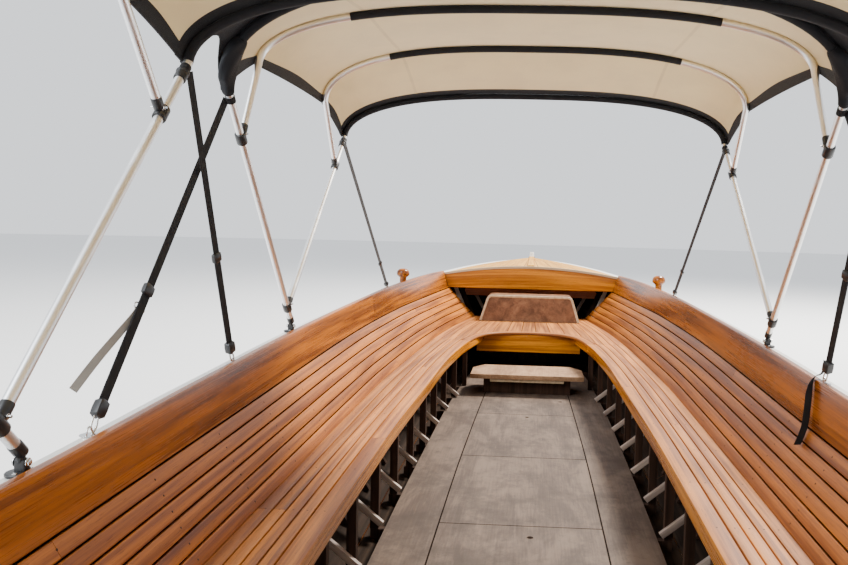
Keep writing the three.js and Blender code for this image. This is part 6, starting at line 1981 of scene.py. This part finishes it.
def motor_trim():
    """Bolts and small castings of the motor: fins, discs and nipples are turned profiles."""
    pile = MotorPile(101)
    for x in (BED - 0.15, BED - 0.05, BED + 0.17):
        for y in (-0.03, 0.03):
            pile.bolt((x, y, COVER_TOP), (0, 0, 1), 0.006, 0.006)
    for x in np.linspace(BED - 0.18, BED + 0.18, 7):
        for y in (-0.077, 0.077):
            pile.bolt((x, y, HEAD_TOP), (0, 0, 1), 0.0085, 0.009)
    for x in np.linspace(BED - 0.165, BED + 0.165, 6):
        for side in (-1, 1):
            pile.bolt((x, side * 0.105, 0.046), (0, side, 0), 0.006, 0.006)
    for side in (-1, 1):
        y = side * BEARER_Y
        for x in (BED - 0.11, BED + 0.11):
            pile.block((x - 0.028, y - 0.022, 0.0302), (x + 0.028, y + 0.022, 0.0385), 0.002)
            pile.bolt((x, y, 0.0385), (0, 0, 1), 0.009, 0.010)
    for y, z in 0.096 * spokes(8):
        pile.bolt((BED - 0.2085, y, CRANK_Z + z), (-1, 0, 0), 0.006, 0.007)
    piece("motor_bolts", pile, "stainless", body="motor_tilt")

    pile = MotorPile(102)
    injector = [(0.013, 0), (0.013, 0.006), (0.009, 0.008), (0.009, 0.034), (0.006, 0.036), (0.006, 0.044)]
    for x in CYLINDERS:
        pile.turned(injector, (0, 0, 1), (x, -0.069, HEAD_TOP), 18)
    pile.block((BED - 0.145, -0.148, 0.15), (BED + 0.015, -0.1035, 0.205), 0.006)
    nipple = [(0.009, 0), (0.009, 0.012), (0.006, 0.014), (0.006, 0.026)]
    for x in PUMP_PORTS:
        pile.turned(nipple, (0, 0, 1), (x, PUMP_Y, 0.2048), 14)
    fin = [(0.0535, -0.0022), (0.0555, -0.0014), (0.0555, 0.0014), (0.0535, 0.0022)]
    for x in np.linspace(0.068, 0.182, 9):
        pile.turned(fin, (1, 0, 0), GENERATOR + (x, 0, 0), 40)
    pile.turned([(0.058, 0.052), (0.061, 0.056), (0.061, 0.062), (0.052, 0.064)], (1, 0, 0), GENERATOR, 40)
    for z, radius in ((FAN_Z, 0.057), (CRANK_Z, 0.075)):
        inner = radius - 0.007
        flange = [(inner, -0.002), (radius, -0.0016), (radius, 0.0016), (inner, 0.002)]
        for x in (BED + 0.2165, BED + 0.2365):
            pile.rings(turned(flange, (1, 0, 0), (x, 0, z), 48), loop=True)
    starter = [(0.034, -0.3), (0.036, -0.296), (0.036, -0.24), (0.034, -0.236)]
    pile.turned(starter, (1, 0, 0), (BED, 0.116, 0.115), 24)
    piece("motor_castings", pile, "cast", body="motor_tilt")


def motor_lines():
    """Injector lines, air cleaner's clamps and wing nut, belt, leads, hose and tiller's grip.

    Lines are round tubes through knots in the motor's own frame, and the belt is a flat band along
    the two pulleys' arcs and tangents.
    """
    pile = MotorPile(103)
    for port_x, x in zip(PUMP_PORTS, CYLINDERS):
        port = np.array([port_x, PUMP_Y, 0.229])
        head = np.array([x, -0.069, HEAD_TOP + 0.042])
        knots = [port, port + (0, -0.004, 0.045), blend(port, head, 0.5) + (0, -0.026, 0.055),
                 head + (0, -0.006, 0.03), head]
        pile.tube(through(knots, 40), 0.003, 10)
    back = points(np.linspace(CYLINDERS[0], CYLINDERS[3], 20), -0.062, HEAD_TOP + 0.030)
    pile.tube(back, 0.0022, 8)
    around = turned([(0.0918, -0.003), (0.0938, -0.003), (0.0938, 0.003), (0.0918, 0.003)], sides=64)
    for z in (0.412, 0.4385):
        pile.rings(around + (CLEANER_X, 0, z), loop=True)
    pile.turned([(0.004, 0.0), (0.004, 0.012), (0.011, 0.013), (0.011, 0.019), (0.004, 0.021)],
                (0, 0, 1), (CLEANER_X, 0, COVER_TOP + 0.0978), 20)
    for side in (-1, 1):
        knots = ((0.008, 0.112), (0.020, 0.121), (0.026, 0.129))
        wing = [(CLEANER_X, side * y, COVER_TOP + z) for y, z in knots]
        pile.tube(through(wing, 10), 0.0035, 10)
    piece("motor_lines", pile, "stainless", body="motor_tilt")

    pile = MotorPile(104)
    belt = pulley_path((0.0, FAN_Z, 0.0546), (0.0, CRANK_Z, 0.0726))
    path = points(BED + 0.228, belt[:, 0], belt[:, 1])
    section = np.array([(-0.0062, -0.004), (0.0062, -0.004), (0.0045, 0.0046), (-0.0045, 0.0046)])
    pile.rings(loop_rings(path, section), loop=True)
    feed = [(BED - 0.145, -0.125, 0.178), (BED - 0.22, -0.128, 0.17), (BED - 0.30, -0.112, 0.10),
            (BED - 0.31, -0.098, 0.02), (BED - 0.25, -0.084, -0.016)]
    pile.tube(through(feed, 60), 0.0055, 12)
    lead = [(BED + 0.12, -0.138, 0.266), (BED + 0.10, -0.14, 0.292), (BED - 0.02, -0.13, 0.283),
            (BED - 0.10, -0.122, 0.262), (BED - 0.13, -0.108, 0.238)]
    pile.tube(through(lead, 60), 0.0038, 10)
    throttle = [(BED - 0.10, -0.135, 0.207), (BED + 0.02, -0.150, 0.235), (BED + 0.24, -0.142, 0.20),
                (BED + 0.40, -0.075, 0.08), (BED + 0.455, -0.022, 0.020), (BED + 0.56, -0.017, 0.026),
                (BED + 0.70, -0.017, 0.045), (BED + 0.78, -0.0195, 0.060)]
    pile.tube(through(throttle, 120), 0.0032, 10)
    hose = [(BED + 0.155, 0.02, HEAD_TOP + 0.006), (BED + 0.214, 0.02, HEAD_TOP + 0.012),
            (BED + 0.222, 0.036, 0.255), (BED + 0.206, 0.07, 0.205), (BED + 0.188, 0.102, 0.19)]
    pile.tube(through(hose, 60), 0.014, 16)
    piece("motor_belt_and_leads", pile, "rubber", body="motor_tilt")

    pile = MotorPile(105)
    start, end = np.array([0.985, 0.0, 0.0584]), np.array([1.122, 0.0, 0.0816])
    along = unit(end - start)
    reach = float(np.linalg.norm(end - start))
    ribs = np.linspace(0.0, 1.0, 60)
    swell = 0.0214 + 0.0012 * np.sin(ribs * np.pi) + 0.0007 * np.cos(ribs * 18 * TAU)
    swell[[0, -1]] = 0.019
    pile.turned(np.column_stack([swell, ribs * reach]), along, start, 36)
    piece("tiller_grip", pile, "rubber", body="motor_tilt")


def mount_trim():
    """Clamps and bolts of the long tube and the cradle, and the bolts of the pillar."""
    pile = MotorPile(106)
    for x in (-0.9, -1.7, -2.5):
        pile.turned([(0.0244, x - 0.018), (0.0275, x - 0.016), (0.0275, x + 0.016), (0.0244, x + 0.018)],
                    (1, 0, 0), (0, 0, CRANK_Z), 32)
    for x, radius in ((-0.262, 0.046), (-3.45, 0.0385)):
        for y, z in spokes(6, 0.3):
            pile.bolt((x, radius * y, CRANK_Z + radius * z), (0, y, z), 0.005, 0.005)
    for side in (-1, 1):
        for x in (-0.19 + BED, 0.51, 0.64):
            pile.bolt((x, side * BEARER_Y, 0.030), (0, 0, 1), 0.007, 0.007)
        pile.turned([(0.019, 0), (0.019, 0.004), (0.017, 0.006)], (0, side, 0), (0, side * 0.142, 0), 24)
    piece("mount_bolts", pile, "stainless", body="motor_tilt")

    pile = Pile(107)
    for x, y in 0.142 * spokes(4, TAU / 8):
        pile.bolt((MOUNT_X + x, y, 0.724), (0, 0, 1), 0.011, 0.011)
    collar = [(0.0475, 0.8115), (0.056, 0.813), (0.056, 0.8188), (0.05, 0.8195)]
    pile.turned(collar, centre=(MOUNT_X, 0, 0), sides=40)
    piece("pillar_bolts", pile, "stainless")


def pulley_path(top, low):
    """The closed line of a belt around two wheels, given as (y, z, radius) each.

    The wheels' centres stand over each other, so the line leaves both at the angle whose sine is
    the difference of the radii over the distance of the centres.
    """
    slope = np.arcsin((low[2] - top[2]) / (top[1] - low[1]))
    over = np.linspace(slope, np.pi - slope, 40)
    under = np.linspace(np.pi - slope, TAU + slope, 40)
    arcs = [np.array(wheel[:2]) + wheel[2] * np.stack([np.cos(a), np.sin(a)], axis=-1)
            for wheel, a in ((top, over), (low, under))]
    return np.concatenate(arcs)


def loop_rings(path, section):
    """Rings of a section around a closed flat path, one axis along x and the other outwards."""
    ahead = unit(np.roll(path, -1, axis=0) - np.roll(path, 1, axis=0))
    out = np.cross(ahead, (1.0, 0.0, 0.0))
    out = np.where(np.sum(out * (path - path.mean(axis=0)), axis=1, keepdims=True) < 0, -out, out)
    section = np.asarray(section)
    return path[:, None] + section[None, :, :1] * np.array([1.0, 0, 0]) + section[None, :, 1:] * out[:, None]


def propeller():
    """Two twisted blades with round tips on a turned hub.

    A blade's section at a radius r is a thin lens as long as the blade is broad there, set at the
    angle whose tangent is the pitch over r. The breadth grows from the root, is most at 0.6 of the
    radius and closes as a half circle does at the tip.
    """
    pile = MotorPile(111)
    centre = np.array([-3.622, 0.0, CRANK_Z])
    profile = [(0.0155, 0.0615), (0.0158, 0.052), (0.024, 0.05), (0.0278, 0.03), (0.028, -0.01),
               (0.0262, -0.035), (0.022, -0.05), (0.0195, -0.0505), (0.0185, -0.056), (0.012, -0.064),
               (0.001, -0.066)]
    pile.turned(profile, (1, 0, 0), centre, 48)
    share = np.linspace(0.0, 1.0, 34)
    r = blend(0.021, 0.1497, share)
    breadth = 0.024 + 0.040 * np.sin(np.pi * np.clip(share / 1.25, 0, 1)) ** 0.9
    breadth *= np.sqrt(np.clip(1 - np.clip((share - 0.55) / 0.45, 0, 1) ** 2.4, 0.0004, 1))
    thick = blend(0.0045, 0.0011, share)
    around = TAU * np.arange(24) / 24
    pitch = np.arctan2(0.07, r)
    for turn in (0.0, np.pi):
        chord = breadth[:, None] * np.cos(around)
        depth = thick[:, None] * np.sin(around) + 0.10 * breadth[:, None] * (1 - np.cos(around) ** 2 - 0.5)
        along = chord * np.sin(pitch)[:, None] + depth * np.cos(pitch)[:, None]
        aside = chord * np.cos(pitch)[:, None] - depth * np.sin(pitch)[:, None]
        y = r[:, None] * np.cos(turn) - aside * np.sin(turn)
        z = r[:, None] * np.sin(turn) + aside * np.cos(turn)
        pile.rings(centre + points(along, y, z))
    piece("propeller_blades", pile, "bronze", body="propeller", replaces=["propeller"])


class BOAT_OT_hull(bpy.types.Operator):
    """Lays the side and bottom planks, the rails and the coamings"""

    bl_idname = "boat.hull"
    bl_label = "Hull planks and rails"

    def execute(self, context):
        hull_planks(context.scene.longtail_sizes)
        rim()
        return {"FINISHED"}


class BOAT_OT_benches(bpy.types.Operator):
    """Lays the planks of the side benches and of the bow bench"""

    bl_idname = "boat.benches"
    bl_label = "Benches"

    def execute(self, context):
        side_benches(context.scene.longtail_sizes)
        bow_bench(context.scene.longtail_sizes)
        return {"FINISHED"}


class BOAT_OT_backrests(bpy.types.Operator):
    """Sets up the backrests' slats, their knees and the nails"""

    bl_idname = "boat.backrests"
    bl_label = "Backrests"

    def execute(self, context):
        backrests(context.scene.longtail_sizes)
        return {"FINISHED"}


class BOAT_OT_inside(bpy.types.Operator):
    """Finishes the floor, the frames and the steps"""

    bl_idname = "boat.inside"
    bl_label = "Floor, frames and steps"

    def execute(self, context):
        floor_and_steps()
        bench_frames()
        return {"FINISHED"}


class BOAT_OT_decks(bpy.types.Operator):
    """Lays the two decks and turns the bollards"""

    bl_idname = "boat.decks"
    bl_label = "Decks and bollards"

    def execute(self, context):
        decks(context.scene.longtail_sizes)
        return {"FINISHED"}


class BOAT_OT_bows(bpy.types.Operator):
    """Bends the tubes of both tops, with their jaws and hinges"""

    bl_idname = "boat.bows"
    bl_label = "Tubes of the tops"

    def execute(self, context):
        bows()
        return {"FINISHED"}


class BOAT_OT_cloth(bpy.types.Operator):
    """Stretches the cloth of both tops and the band between them"""

    bl_idname = "boat.cloth"
    bl_label = "Cloth tops"

    def execute(self, context):
        cloth_tops(context.scene.longtail_sizes)
        return {"FINISHED"}


class BOAT_OT_stays(bpy.types.Operator):
    """Runs the webbing stays from the tops to the rails"""

    bl_idname = "boat.stays"
    bl_label = "Stays"

    def execute(self, context):
        stays(context.scene.longtail_sizes)
        return {"FINISHED"}


class BOAT_OT_motor(bpy.types.Operator):
    """Fits out the motor and its propeller"""

    bl_idname = "boat.motor"
    bl_label = "Motor and propeller"

    def execute(self, context):
        motor_mount()
        motor_frame()
        motor_engine()
        motor_trim()
        motor_lines()
        mount_trim()
        propeller()
        return {"FINISHED"}


class BOAT_OT_studio(bpy.types.Operator):
    """Lays the floor at the waterline and sets the light and the camera"""

    bl_idname = "boat.studio"
    bl_label = "Studio"

    def execute(self, context):
        studio(context.scene.longtail_looks)
        return {"FINISHED"}


PIECES = (
    BOAT_OT_studio, BOAT_OT_hull, BOAT_OT_benches, BOAT_OT_backrests, BOAT_OT_inside,
    BOAT_OT_decks, BOAT_OT_bows, BOAT_OT_cloth, BOAT_OT_stays, BOAT_OT_motor,
)


class BOAT_PT_longtail(bpy.types.Panel):
    """Sidebar panel with the settings and one button for each group of pieces"""

    bl_idname = "BOAT_PT_longtail"
    bl_label = "Longtail Boat"
    bl_space_type = "VIEW_3D"
    bl_region_type = "UI"
    bl_category = "Longtail Boat"

    def draw(self, context):
        column = self.layout.column()
        for group in (context.scene.longtail_sizes, context.scene.longtail_looks):
            for name in group.__annotations__:
                column.prop(group, name)
        for made in PIECES:
            column.operator(made.bl_idname)


CLASSES = (BoatSizes, BoatLooks, *PIECES, BOAT_PT_longtail)


def register():
    """Registers the classes and hangs the settings on the scene."""
    for one in CLASSES:
        bpy.utils.register_class(one)
    bpy.types.Scene.longtail_sizes = PointerProperty(type=BoatSizes)
    bpy.types.Scene.longtail_looks = PointerProperty(type=BoatLooks)


def unregister():
    """Takes the settings and the classes away again."""
    del bpy.types.Scene.longtail_looks
    del bpy.types.Scene.longtail_sizes
    for one in reversed(CLASSES):
        bpy.utils.unregister_class(one)


def main():
    """Builds the boat."""
    register()
    for made in PIECES:
        family, name = made.bl_idname.split(".")
        getattr(getattr(bpy.ops, family), name)()


if __name__ == "__main__":
    main()
